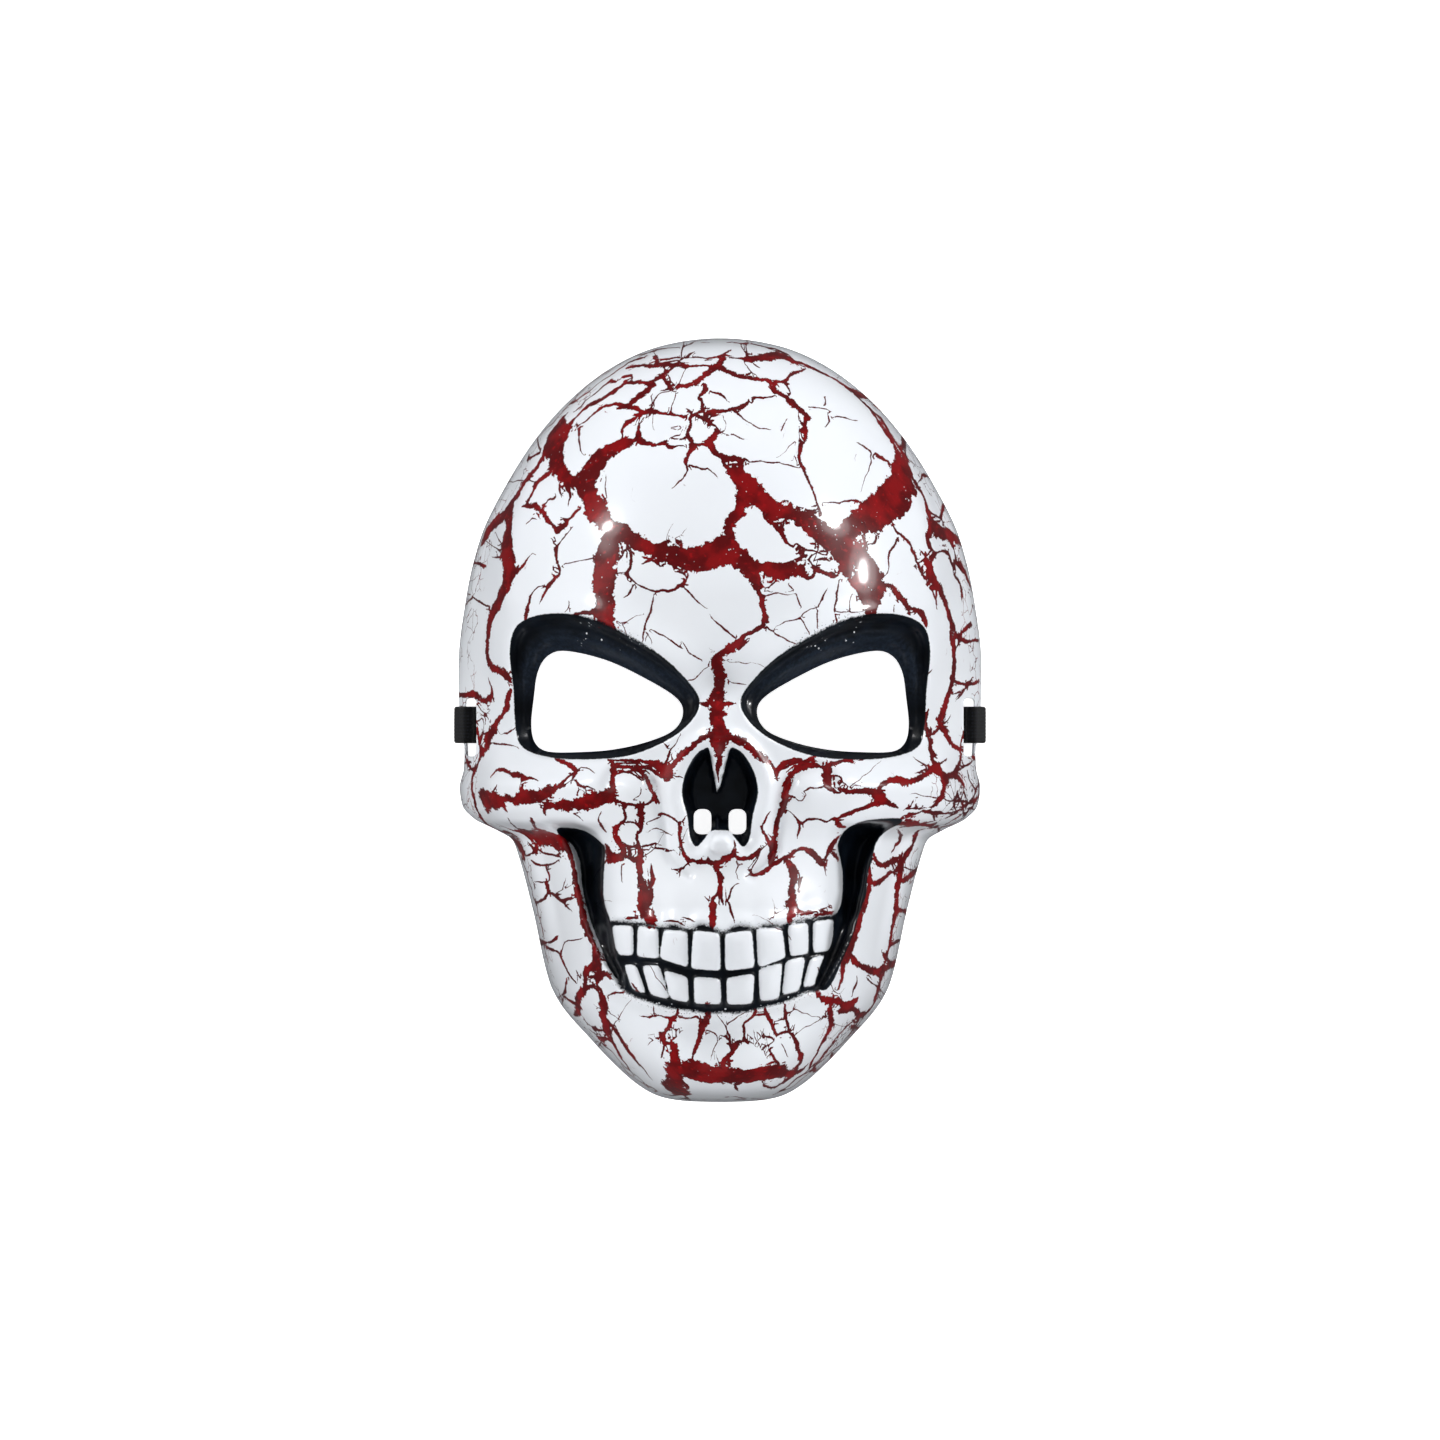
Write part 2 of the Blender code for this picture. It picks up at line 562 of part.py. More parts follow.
def make_strap(material):
    """A flat band: a rectangle carried along its middle line, its width level with the floor."""
    path = strap_path()
    x, z = path[:, 0], path[:, 1]
    y = through(np.abs(x), STRAP_PLAN[:, 0], STRAP_PLAN[:, 1])
    ahead = through(np.abs(x) + SLOPE_STEP, STRAP_PLAN[:, 0], STRAP_PLAN[:, 1])
    slope = np.sign(x) * (ahead - y) / SLOPE_STEP
    middle = np.stack([x, y, z], axis=-1)
    width = np.stack([-slope, np.ones_like(x), np.zeros_like(x)], axis=-1)
    width /= np.linalg.norm(width, axis=-1, keepdims=True)
    along = np.gradient(middle, axis=0)
    thick = np.cross(along, width)
    thick /= np.linalg.norm(thick, axis=-1, keepdims=True)
    half_w, half_t = width * STRAP_WIDTH / 2, thick * STRAP_THICK / 2
    rings = np.stack([middle - half_w - half_t, middle + half_w - half_t,
                      middle + half_w + half_t, middle - half_w + half_t], axis=1)
    points, last = rings.reshape(-1, 3), len(middle) - 1
    faces = [(3, 2, 1, 0), tuple(4 * last + k for k in (0, 1, 2, 3))]
    for r in range(last):
        for k in range(4):
            a, b = 4 * r + k, 4 * r + (k + 1) % 4
            faces.append((a, b, b + 4, a + 4))
    return new_mesh_object("elastic_strap", points, faces, material)


def build():
    """Clears the scene, then makes the shell with its openings and the strap."""
    for obj in list(bpy.data.objects):
        bpy.data.objects.remove(obj, do_unlink=True)
    white = plain_material("white_plastic", (0.80, 0.83, 0.88), 0.22)
    black = plain_material("black_elastic", (0.012, 0.012, 0.014), 0.9)
    shell = make_shell(white)
    cut_openings(shell, white)
    make_strap(black)


build()
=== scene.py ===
"""Skull mask of moulded white plastic with a printed dark red crackle, black paint and an elastic strap.

It lies face up on its rim. +X is to the picture's right, +Y to the crown, +Z out of the face.
Shapes are worked out in millimetres and scaled to metres when a mesh is made.
"""

import bpy
import numpy as np
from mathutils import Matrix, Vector


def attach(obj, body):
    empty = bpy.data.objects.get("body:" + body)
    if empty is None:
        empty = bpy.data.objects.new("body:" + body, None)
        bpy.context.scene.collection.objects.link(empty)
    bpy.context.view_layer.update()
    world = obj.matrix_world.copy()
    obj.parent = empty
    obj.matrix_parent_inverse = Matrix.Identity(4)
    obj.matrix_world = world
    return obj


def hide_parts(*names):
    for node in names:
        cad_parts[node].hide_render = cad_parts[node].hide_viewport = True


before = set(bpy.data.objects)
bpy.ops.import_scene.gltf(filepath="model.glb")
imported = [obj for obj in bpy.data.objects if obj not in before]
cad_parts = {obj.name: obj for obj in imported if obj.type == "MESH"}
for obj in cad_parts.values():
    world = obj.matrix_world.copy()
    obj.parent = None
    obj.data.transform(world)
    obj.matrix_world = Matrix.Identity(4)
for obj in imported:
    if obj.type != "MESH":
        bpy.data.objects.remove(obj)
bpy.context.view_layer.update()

# Camera: straight above the face, far off, so the whole picture is 468 mm wide at the height of
# the cheeks. It stands for the photo's viewpoint.
MM = 0.001
PICTURE_WIDTH = 468.0
SHARP_HEIGHT = 45.0
CAMERA_HEIGHT = 6000.0
SENSOR = 36.0

camera_data = bpy.data.cameras.new("camera")
camera_data.sensor_width = SENSOR
camera_data.lens = SENSOR * (CAMERA_HEIGHT - SHARP_HEIGHT) / PICTURE_WIDTH
camera_data.clip_end = 100.0
camera = bpy.data.objects.new("camera", camera_data)
camera.location = (0.0, 0.0, CAMERA_HEIGHT * MM)
bpy.context.scene.collection.objects.link(camera)
bpy.context.scene.camera = camera
bpy.context.scene.view_settings.view_transform = "Standard"

# Strap: one flat black knitted elastic, 12 mm wide. It lies on the floor inside the hollow,
# goes out under the rim at each temple, up round the bridge and back in by the slot, and its
# end is sewn to itself.
STRAP_WIDTH, STRAP_THICK = 12.0, 1.2
STRAP_PLAN = np.array([
    # X, Y
    (0, -49.8), (18, -47.8), (36, -41.5), (50, -32.5), (61, -24), (67, -14.5), (72.5, -5.6), (78, -1.6),
])
STRAP_FLOOR_Z = 0.62
STRAP_LOOP = (
    # X, Z
    (78, 0.62), (82, 0.62), (85.25, 0.77), (86.5, 1.72), (86.1, 3.3), (83.9, 7.97), (83.1, 8.87),
    (81.4, 8.32), (80.95, 5.62), (80, 2.92), (76.5, 1.92), (72, 1.92), (66, 1.92),
)
RING_STEP = 0.3
ROUTE_STEPS = 30
BAND_POINTS = 34
SIDE_POWER, SIDE_ROOT = 14, 0.6
KNIT_ACROSS, KNIT_ALONG = 1.15, 0.95
KNIT_DEPTH = 0.16
# The paler, bluish yarn colour is a painted glint, laid on the tops of the stitches.
YARN_DARK, YARN_GLINT = (0.0006, 0.0007, 0.001, 1.0), (0.009, 0.011, 0.018, 1.0)


def smoothstep(low, high, value):
    """Rises from 0 at low to 1 at high, level at both ends: 3 t squared less 2 t cubed."""
    t = np.clip((value - low) / (high - low), 0.0, 1.0)
    return t * t * (3.0 - 2.0 * t)


def through(at, places, values):
    """A smooth curve through a table: cubic spans, with slopes that never overshoot."""
    order = np.argsort(places)
    p, v = np.asarray(places, float)[order], np.asarray(values, float)[order]
    step = np.diff(p)
    slope = np.diff(v) / step
    total = np.where(slope[:-1] + slope[1:] == 0.0, 1.0, slope[:-1] + slope[1:])
    inner = np.where(slope[:-1] * slope[1:] > 0.0, 2.0 * slope[:-1] * slope[1:] / total, 0.0)
    tangent = np.concatenate([[slope[0]], inner, [slope[-1]]])
    at = np.clip(at, p[0], p[-1])
    i = np.clip(np.searchsorted(p, at, side="right") - 1, 0, len(p) - 2)
    t = (at - p[i]) / step[i]
    return (
        v[i] * (1 + 2 * t) * (1 - t) ** 2
        + v[i + 1] * t**2 * (3 - 2 * t)
        + step[i] * (tangent[i] * t * (1 - t) ** 2 + tangent[i + 1] * t**2 * (t - 1))
    )


def spline(points, steps, closed=False):
    """A cubic through each point, its slope there half the way between the points on either side."""
    p = np.asarray(points, float)
    if closed:
        before, end, beyond = np.roll(p, 1, 0), np.roll(p, -1, 0), np.roll(p, -2, 0)
        start = p
    else:
        start, end = p[:-1], p[1:]
        before, beyond = np.concatenate([p[:1], p[:-2]]), np.concatenate([p[2:], p[-1:]])
    t = (np.arange(steps) / steps)[None, :, None]
    spans = 0.5 * (
        2 * start[:, None]
        + (end - before)[:, None] * t
        + (2 * before - 5 * start + 4 * end - beyond)[:, None] * t**2
        + (3 * start - before - 3 * end + beyond)[:, None] * t**3
    ).reshape(-1, p.shape[1])
    return spans if closed else np.concatenate([spans, p[-1:]])


def new_mesh(name, points, faces, material):
    """An object of that name from points in millimetres and a list of face arrays, shaded smooth."""
    mesh = bpy.data.meshes.new(name)
    mesh.vertices.add(len(points))
    mesh.vertices.foreach_set("co", (points * MM).astype(np.float32).ravel())
    corners = np.concatenate([f.ravel() for f in faces])
    sizes = np.concatenate([np.full(len(f), f.shape[1]) for f in faces])
    mesh.loops.add(len(corners))
    mesh.loops.foreach_set("vertex_index", corners.astype(np.int32))
    mesh.polygons.add(len(sizes))
    mesh.polygons.foreach_set("loop_start", (np.cumsum(sizes) - sizes).astype(np.int32))
    mesh.update(calc_edges=True)
    mesh.validate()
    mesh.shade_smooth()
    mesh.materials.append(material)
    piece = bpy.data.objects.new(name, mesh)
    bpy.context.scene.collection.objects.link(piece)
    return piece


class Field:
    """A shader socket that takes part in sums: each operator adds its Math node."""

    def __init__(self, finish, socket):
        self.finish, self.socket = finish, socket

    def maths(self, operation, *values):
        return self.finish.node("ShaderNodeMath", {"operation": operation}, dict(enumerate(values)))

    def __add__(self, other):
        return self.maths("ADD", self, other)

    def __sub__(self, other):
        return self.maths("SUBTRACT", self, other)

    def __rsub__(self, other):
        return self.maths("SUBTRACT", other, self)

    def __mul__(self, other):
        return self.maths("MULTIPLY", self, other)

    def __truediv__(self, other):
        return self.maths("DIVIDE", self, other)

    def __rtruediv__(self, other):
        return self.maths("DIVIDE", other, self)

    def __abs__(self):
        return self.maths("ABSOLUTE", self)

    def low(self, other):
        return self.maths("MINIMUM", self, other)

    def high(self, other):
        return self.maths("MAXIMUM", self, other)

    __radd__, __rmul__ = __add__, __mul__

    def rises(self, low, high):
        """0 below low, 1 above high, a smooth step between."""
        return self.finish.node(
            "ShaderNodeMapRange", {"interpolation_type": "SMOOTHSTEP"}, {0: self, 1: low, 2: high})


class Finish:
    """One material. node() adds any node: its type, its settings, then its sockets' values or links."""

    def __init__(self, name):
        self.material = bpy.data.materials.new(name)
        self.material.use_nodes = True
        self.tree = self.material.node_tree
        self.shader = self.tree.nodes["Principled BSDF"]

    def feed(self, socket, value):
        if isinstance(value, Field):
            self.tree.links.new(value.socket, socket)
        else:
            socket.default_value = value

    def node(self, kind, settings=None, inputs=None, output=0):
        node = self.tree.nodes.new(kind)
        for name, value in (settings or {}).items():
            setattr(node, name, value)
        for place, value in (inputs or {}).items():
            self.feed(node.inputs[place], value)
        return Field(self, node.outputs[output])

    def attribute(self, name):
        return self.node("ShaderNodeAttribute", {"attribute_name": name}, output="Fac")

    def mix(self, factor, under, over):
        """Colours mixed by a factor: 0 the one under, 1 the one over."""
        return self.node("ShaderNodeMix", {"data_type": "RGBA"}, {0: factor, 6: under, 7: over}, output=2)

    def millimetres(self):
        """Object coordinates in millimetres."""
        place = self.node("ShaderNodeTexCoord", output="Object")
        return self.node("ShaderNodeVectorMath", {"operation": "SCALE"}, {0: place, "Scale": 1.0 / MM})

    def noise(self, place, wave, detail=2.0, rough=0.5):
        """Cloudy noise from 0 to 1, of a wavelength in millimetres."""
        return self.node("ShaderNodeTexNoise", {}, {
            "Vector": place, "Scale": 1.0 / wave, "Detail": detail, "Roughness": rough})

    def cells(self, place, size, feature="F1"):
        """Distance to the nearest seed or cell edge of scattered cells of a size in millimetres."""
        return self.node("ShaderNodeTexVoronoi", {"feature": feature}, {"Vector": place, "Scale": 1.0 / size})

    def bump(self, height, depth):
        """A bump whose height of 1 is a depth in millimetres."""
        return self.node("ShaderNodeBump", {}, {"Height": height, "Strength": 1.0, "Distance": depth * MM})

    def wire(self, **sockets):
        for name, value in sockets.items():
            self.feed(self.shader.inputs[name.replace("_", " ")], value)


def strap_y(x):
    """The strap's Y at a place across: a smooth curve through the plan's table, alike on both sides."""
    return through(np.abs(x), STRAP_PLAN[:, 0], STRAP_PLAN[:, 1])


def strap_middle():
    """Points of the strap's middle line, every RING_STEP: the half route, mirrored, and rounded."""
    run = [(x, STRAP_FLOOR_Z) for x in STRAP_PLAN[1:-1, 0]]
    half = np.array(run + list(STRAP_LOOP))
    side = spline(np.concatenate([half[::-1] * (-1.0, 1.0), [(0.0, STRAP_FLOOR_Z)], half]), ROUTE_STEPS)
    route = np.stack([side[:, 0], strap_y(side[:, 0]), side[:, 1]], axis=1)
    along = np.concatenate([[0.0], np.cumsum(np.linalg.norm(np.diff(route, axis=0), axis=1))])
    at = np.linspace(0.0, along[-1], int(along[-1] / RING_STEP))
    return np.stack([np.interp(at, along, route[:, k]) for k in range(3)], axis=1), at


def round_band():
    """Places round the band: across from -1 to 1 and back, and the face, 1 on top and -1 beneath."""
    top = np.linspace(-1.0, 1.0, BAND_POINTS)
    beneath = top[-2:0:-1]
    return np.concatenate([top, beneath]), np.concatenate([np.ones(len(top)), -np.ones(len(beneath))])


def strap_band(middle, at):
    """A flat band with round sides carried along the middle line, with knitted stitches.

    The height is half the thickness times (1 less the place across to the 14th) to the 0.6, where
    the place is 1 at the side. A stitch sinks the face between ribs that run along the band, and
    between the slanted rows of loops that cross them.
    """
    slope_step, valley_share, ribbed = 0.05, 0.35, 0.97
    along = np.gradient(middle, axis=0)
    plan = np.abs(middle[:, 0])
    slope = np.sign(middle[:, 0]) * (strap_y(plan + slope_step) - strap_y(plan)) / slope_step
    wide = np.stack([-slope, np.ones_like(slope), np.zeros_like(slope)], axis=1)
    wide /= np.linalg.norm(wide, axis=1, keepdims=True)
    thick = np.cross(along, wide)
    thick /= np.linalg.norm(thick, axis=1, keepdims=True)
    across, face = round_band()
    edge = (1.0 - np.abs(across) ** SIDE_POWER) ** SIDE_ROOT
    place = across * STRAP_WIDTH / 2
    rib = 0.5 - 0.5 * np.cos(2 * np.pi * place[None, :] / KNIT_ACROSS)
    lean = np.abs(np.mod(place[None, :] / KNIT_ACROSS, 1.0) - 0.5)
    loop = 0.5 + 0.5 * np.cos(2 * np.pi * (at[:, None] / KNIT_ALONG + lean))
    sink = KNIT_DEPTH * (1.0 - (valley_share + (1.0 - valley_share) * loop) * rib) * (np.abs(across) < ribbed)
    high = face * edge * (STRAP_THICK / 2 - sink)
    return middle[:, None] + wide[:, None] * place[None, :, None] + thick[:, None] * high[..., None]


def strap_finish():
    """Black knitted yarn: dark ribs, a painted bluish glint on the yarn tops, and fine fibres."""
    finish = Finish("black_elastic_knit")
    place = finish.millimetres()
    top = finish.attribute("yarn_top")
    fibre = finish.noise(place, 0.35, 3.0, 0.6)
    # Painted glint: the yarn is paler and bluish where the stitch stands highest, and the fibres vary it at
    # random.
    tone = (top * 0.75 + fibre * 0.5).rises(0.35, 1.15)
    colour = finish.mix(tone, YARN_DARK, YARN_GLINT)
    finish.wire(Base_Color=colour, Roughness=0.82 - fibre * 0.25, Normal=finish.bump(fibre, 0.08))
    finish.shader.inputs["Specular IOR Level"].default_value = 0.25
    finish.shader.inputs["Sheen Weight"].default_value = 0.1
    return finish.material


strap_line, strap_at = strap_middle()
strap_rings = strap_band(strap_line, strap_at)
rings, ring_size = strap_rings.shape[:2]
first = np.arange(rings - 1)[:, None] * ring_size + np.arange(ring_size)
turned = np.arange(rings - 1)[:, None] * ring_size + (np.arange(ring_size) + 1) % ring_size
strap_sides = np.stack([first, turned, turned + ring_size, first + ring_size], axis=-1).reshape(-1, 4)
strap_ends = np.stack([np.arange(ring_size)[::-1], np.arange(ring_size) + (rings - 1) * ring_size])
strap = new_mesh("elastic_strap_knit", strap_rings.reshape(-1, 3), [strap_sides, strap_ends],
                 strap_finish())
raised = np.linalg.norm(strap_rings - strap_line[:, None], axis=-1)
height = np.sqrt(np.maximum(raised**2 - (round_band()[0] * STRAP_WIDTH / 2) ** 2, 0.0))
yarn = np.clip((height - STRAP_THICK / 2 + KNIT_DEPTH) / KNIT_DEPTH, 0.0, 1.0)
strap.data.attributes.new("yarn_top", "FLOAT", "POINT").data.foreach_set(
    "value", yarn.astype(np.float32).ravel())
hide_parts("elastic_strap")
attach(strap, "root")

# Shell: the whole mask is one thin moulding of hard glossy plastic, 1.2 mm thick and hollow
# behind, with eye holes, nostrils and strap slots cut through it. Its form is a table of
# cross-sections, with the skull's relief raised and sunk in it.
HALF_HEIGHT = 125.0
WALL = 1.2
RIM_LIFT, LIFT_Y, LIFT_REACH = 2.4, -1.6, (8.0, 18.0)
SECTIONS = np.array([
    # Y, half width, height, flat, round: z = height (1 - |x / half width| ^ flat) ^ (1 / round)
    (125, 0, 0, 2, 2), (121, 24, 27, 2, 2), (110.7, 42.3, 44, 2.1, 1.9), (96, 57.3, 58, 2.2, 1.8),
    (77.5, 69.7, 69, 2.3, 1.7), (59, 78.6, 76, 2.4, 1.6), (40, 83.1, 80, 2.4, 1.4), (18, 85.6, 80, 2.3, 1.2),
    (0, 85.2, 78, 2.2, 1.1), (-10.4, 83.6, 77, 2.3, 1.2), (-16, 83.9, 77, 2.4, 1.3),
    (-22, 85.2, 77, 2.5, 1.4), (-27.8, 84.4, 77, 2.5, 1.4), (-32.3, 80.5, 76.5, 2.5, 1.4),
    (-36, 73.2, 76, 2.5, 1.4), (-39.2, 68, 76, 2.5, 1.4), (-43, 66.4, 76, 2.5, 1.4),
    (-61.5, 61.4, 77, 2.5, 1.5), (-85.8, 55.8, 75, 2.4, 1.7), (-92, 52.8, 73, 2.4, 1.8),
    (-104.4, 42.4, 69, 2.3, 1.9), (-112.5, 34.7, 65, 2.2, 2), (-119.4, 26.8, 57, 2.1, 2),
    (-123, 20.3, 42, 2, 2), (-124.4, 14, 24, 2, 2), (-125, 0, 0, 2, 2),
])
EYE_HOLE = (
    (50, 22.4), (56, 20.8), (59.3, 15.5), (60.6, 7), (61.4, -1.5), (60.2, -7.3), (56, -10.2), (46, -10.4),
    (35, -9.6), (24, -7.2), (15.2, -3.4), (12, 2), (14.2, 7.2), (24.5, 13.6), (37, 19.4),
)
SOCKET_BORDER = (
    (68.4, 22), (66.5, 30), (60, 33.8), (50, 34.5), (40, 32.4), (30, 27.6), (20, 21.5), (12, 14.4),
    (6.6, 6.4), (9.5, -0.6), (17.5, -6.8), (30, -11.6), (45, -12.8), (57, -11.8), (64.5, -8.6), (66.6, -2),
    (67.2, 10),
)
NOSE_BORDER = (
    (0, -9.2), (3.2, -8.6), (7.4, -10.8), (11, -16.8), (12.3, -23.5), (10.6, -31), (9.6, -38), (7.6, -41),
    (5.2, -38.6), (3, -36), (0, -35.6),
)
MIDDLE_SWELLINGS = (
    # rise, reach in X, centre Y, reach in Y
    (4, 9, -5, 9), (-5, 14, 12, 7), (7, 33, -68, 27), (-3, 34, -97, 5), (5, 24, -110, 9),
)
CHEEK_HOLLOW = np.array([
    # Y, inner X, outer X, depth
    (-33.5, 45, 57, 5), (-37, 40, 52.5, 12), (-42, 37.8, 49.2, 14), (-48, 38.4, 47, 14), (-55, 38.6, 46, 13),
    (-62, 36.9, 44.2, 12), (-70, 35, 41.8, 10), (-76.3, 34, 39, 8), (-82, 31.6, 35.8, 5),
    (-86, 30.7, 33.2, 2),
])
BALL_X, BALL_Y, BALL_RADIUS, BALL_RISE = 0.6, -39.6, 3.9, 3.6
BLADE_FOOT, BLADE_TALL, BLADE_HALF = -24.2, 15.2, 3.4
NOSE_DEPTH, NOSE_LIP = 11.0, 2.1
TEETH = np.array([
    # Corners as X, Y: top left, top right, bottom right, bottom left. The upper row, then the lower
    ((-34.7, -66.8), (-28.4, -66.8), (-28.3, -75.9), (-33.2, -75.8)),
    ((-26.2, -66.8), (-20.2, -67.6), (-20.1, -76.8), (-26.6, -76.2)),
    ((-17.9, -68.0), (-10.8, -68.6), (-10.6, -79.5), (-19.2, -76.8)),
    ((-8.3, -68.3), (-0.4, -69.0), (-0.1, -80.7), (-9.1, -80.0)),
    ((1.9, -69.2), (10.0, -68.2), (10.9, -79.7), (2.0, -80.7)),
    ((12.0, -67.6), (19.8, -67.4), (20.9, -76.7), (12.6, -79.6)),
    ((22.2, -66.4), (28.2, -65.8), (28.3, -75.4), (22.9, -76.0)),
    ((30.4, -65.4), (36.6, -64.9), (36.2, -74.2), (30.4, -75.1)),
    ((-30.8, -79.3), (-27.3, -79.6), (-24.3, -88.2), (-28.2, -87.0)),
    ((-24.8, -79.6), (-19.8, -79.6), (-16.8, -90.0), (-22.3, -88.6)),
    ((-17.8, -81.2), (-10.8, -83.2), (-10.4, -91.0), (-15.8, -90.0)),
    ((-8.1, -83.2), (-0.2, -83.8), (0.1, -91.6), (-8.0, -91.4)),
    ((2.4, -83.6), (10.8, -82.2), (10.3, -91.5), (2.6, -91.7)),
    ((12.8, -80.6), (19.8, -78.9), (18.8, -90.0), (13.2, -90.6)),
    ((21.5, -78.1), (27.3, -76.8), (25.4, -87.4), (20.4, -88.6)),
    ((29.4, -77.4), (33.6, -76.2), (30.7, -85.6), (27.1, -86.2)),
])
UPPER_TEETH = 8
TOOTH_CORNER, TOOTH_GROWTH = 0.55, 0.32
TILE_RISE, TILE_DOME, GUM_RISE = 2.0, 0.8, 2.0
MOUTH = (
    (38.4, -63.2), (36, -63.2), (30, -64), (25, -64.9), (20, -66), (15, -66.1), (11.2, -67.1), (8.5, -66.7),
    (5.5, -66.4), (0.8, -68.3), (-5.4, -66), (-10, -67.6), (-14.8, -66.2), (-19, -66.9), (-22, -66),
    (-28, -65.4), (-36, -65.3), (-37, -70), (-36, -76), (-33.5, -82), (-31.5, -86.5), (-28, -88.8),
    (-23, -90.6), (-17, -92.3), (-10, -93.3), (-4, -94.2), (1, -93.9), (6, -94.1), (12, -92.8), (20, -90.8),
    (27, -88), (31.5, -87), (33.5, -84), (36.5, -77), (38.5, -70),
)
NOSE_FOLD = ((22.3, -20.3), (20.3, -24.5), (18.0, -32.7), (17.4, -41.1), (15.4, -45.3), (10.2, -49.9))
TEMPLE_RIDGE = ((38.0, 112.0), (52.0, 98.0), (60.0, 86.0), (66.0, 66.0), (69.0, 48.0), (69.0, 34.0))
EDGE_ROUND = 0.35
# Rings at an edge: share of the way in, share of the rounding, and how bare of print each is
EDGE_RINGS = ((0.06, 0.6), (0.3, 1.0), (0.7, 1.0), (0.94, 0.6))
EDGE_INNER = (0.0, 0.0, 0.4, 1.0)
# Centre, size and corner radius
NOSTRIL = ((5.65, -32.9), (5.7, 8.1), 2.2)
STRAP_SLOT = ((81.3, -2.4), (3.4, 19.0), 1.2)
# The grid: rows between two heights, and the end patches' line, corner, end, rows and crowding
ROW_RUNS = ((90, 43, 42), (43, -12, 58), (-12, -44, 40), (-44, -63.5, 19), (-63.5, -96, 52), (-96, -101, 5))
CROWN_PATCH, CHIN_PATCH = (90.0, 112.0, HALF_HEIGHT, 34), (-101.0, -113.0, -HALF_HEIGHT, 25)
CROWDING = 1.6
MIDDLE_COLUMNS, SIDE_COLUMNS, SIDE_START = 53, 34, 0.62
SHIFT_PASSES, BACKING_PASSES, BACKING_OVER = 14, 5, 0.25


def half_width(y):
    """The outline's half width: a smooth curve through the table's squares, then the root."""
    return np.sqrt(np.maximum(through(y, SECTIONS[:, 0], SECTIONS[:, 1] ** 2), 0.0))


def from_runs(start, run, x, y):
    """From each straight run to each place: across, up, the share of the run nearest it, and distance."""
    px, py = x[..., None] - start[:, 0], y[..., None] - start[:, 1]
    t = np.clip((px * run[:, 0] + py * run[:, 1]) / (run**2).sum(1), 0.0, 1.0)
    return px, py, t, np.hypot(px - t * run[:, 0], py - t * run[:, 1])


def depth_inside(outline, x, y):
    """Distance to a closed outline, positive inside it, from the nearest of its straight runs."""
    start, end = outline, np.roll(outline, -1, 0)
    run = end - start
    px, py, _, away = from_runs(start, run, x, y)
    above = start[:, 1] > y[..., None]
    rise = np.where(run[:, 1] == 0.0, 1.0, run[:, 1])
    crosses = (above != np.roll(above, -1, -1)) & (px < run[:, 0] * py / rise)
    return np.where(crosses.sum(-1) % 2 == 1, away.min(-1), -away.min(-1))


def beside_line(points, x, y):
    """Signed distance to an open line of straight runs, positive on its left."""
    p = np.asarray(points, float)
    run = np.diff(p, axis=0)
    px, py, _, away = from_runs(p[:-1], run, x, y)
    nearest = away.argmin(-1)[..., None]
    left = np.sign(run[:, 0] * py - run[:, 1] * px)
    return (np.take_along_axis(away, nearest, -1) * np.take_along_axis(left, nearest, -1))[..., 0]


def hump(value, reach):
    """A bell: 1 at 0, and nearly 0 past twice its reach."""
    return np.exp(-((value / reach) ** 2))


def share_across(x, y):
    """How far out a place is: 0 on the middle line, 1 on the outline."""
    return np.abs(x) / np.maximum(half_width(y), 1e-6)


def plain_form(x, y):
    """The bare skull, standing on its rim: the rim's height plus the section's rounded arch.

    The rim is lifted where the strap goes under it, and less and less on either side of there.
    """
    share = np.clip(share_across(x, y), 0.0, 1.0)
    top = np.sqrt(np.maximum(through(y, SECTIONS[:, 0], SECTIONS[:, 2] ** 2), 0.0))
    flat = through(y, SECTIONS[:, 0], SECTIONS[:, 3])
    roundness = through(y, SECTIONS[:, 0], SECTIONS[:, 4])
    rim = RIM_LIFT * (1.0 - smoothstep(*LIFT_REACH, np.abs(y - LIFT_Y)))
    return rim + np.maximum(top - rim, 0.0) * (1.0 - share**flat) ** (1.0 / roundness)


SOCKET_LINE = spline(SOCKET_BORDER, 8, closed=True)
EYE_LINE = spline(EYE_HOLE, 8, closed=True)
NOSE_LINE = spline(NOSE_BORDER + tuple((-x, y) for x, y in NOSE_BORDER[-2:0:-1]), 8, closed=True)
MOUTH_LINE = spline(MOUTH, 5, closed=True)


def socket_share(side, y):
    """Depth inside the socket's border, and the share of the way from there to the eye hole."""
    inside = depth_inside(SOCKET_LINE, side, y)
    to_hole = np.maximum(-depth_inside(EYE_LINE, side, y), 0.0)
    return inside, np.clip(inside / np.maximum(inside + to_hole, 1e-6), 0.0, 1.0)


def eye_socket(side, y):
    """A brow raised round the border, and a bowl that sinks in two steps from it to the hole."""
    inside, share = socket_share(side, y)
    steps = 0.55 * smoothstep(0.0, 0.38, share) + 0.45 * smoothstep(0.52, 0.98, share)
    shallow, deeper, brow_rise, brow_reach = 5.0, 8.0, 3.2, 7.0
    turn = smoothstep(-8.0, 24.0, y)
    depth = shallow + deeper * turn
    lip = brow_rise * turn
    brow = lip * hump(np.minimum(inside, 0.0), brow_reach)
    return np.where(inside > 0.0, lip - depth * steps, brow)


def off_blade_line(x, share):
    """Distance across from the blade's middle line, which leans by 0.6 mm from its foot to its top."""
    return np.abs(x + 0.75 - 0.6 * share)


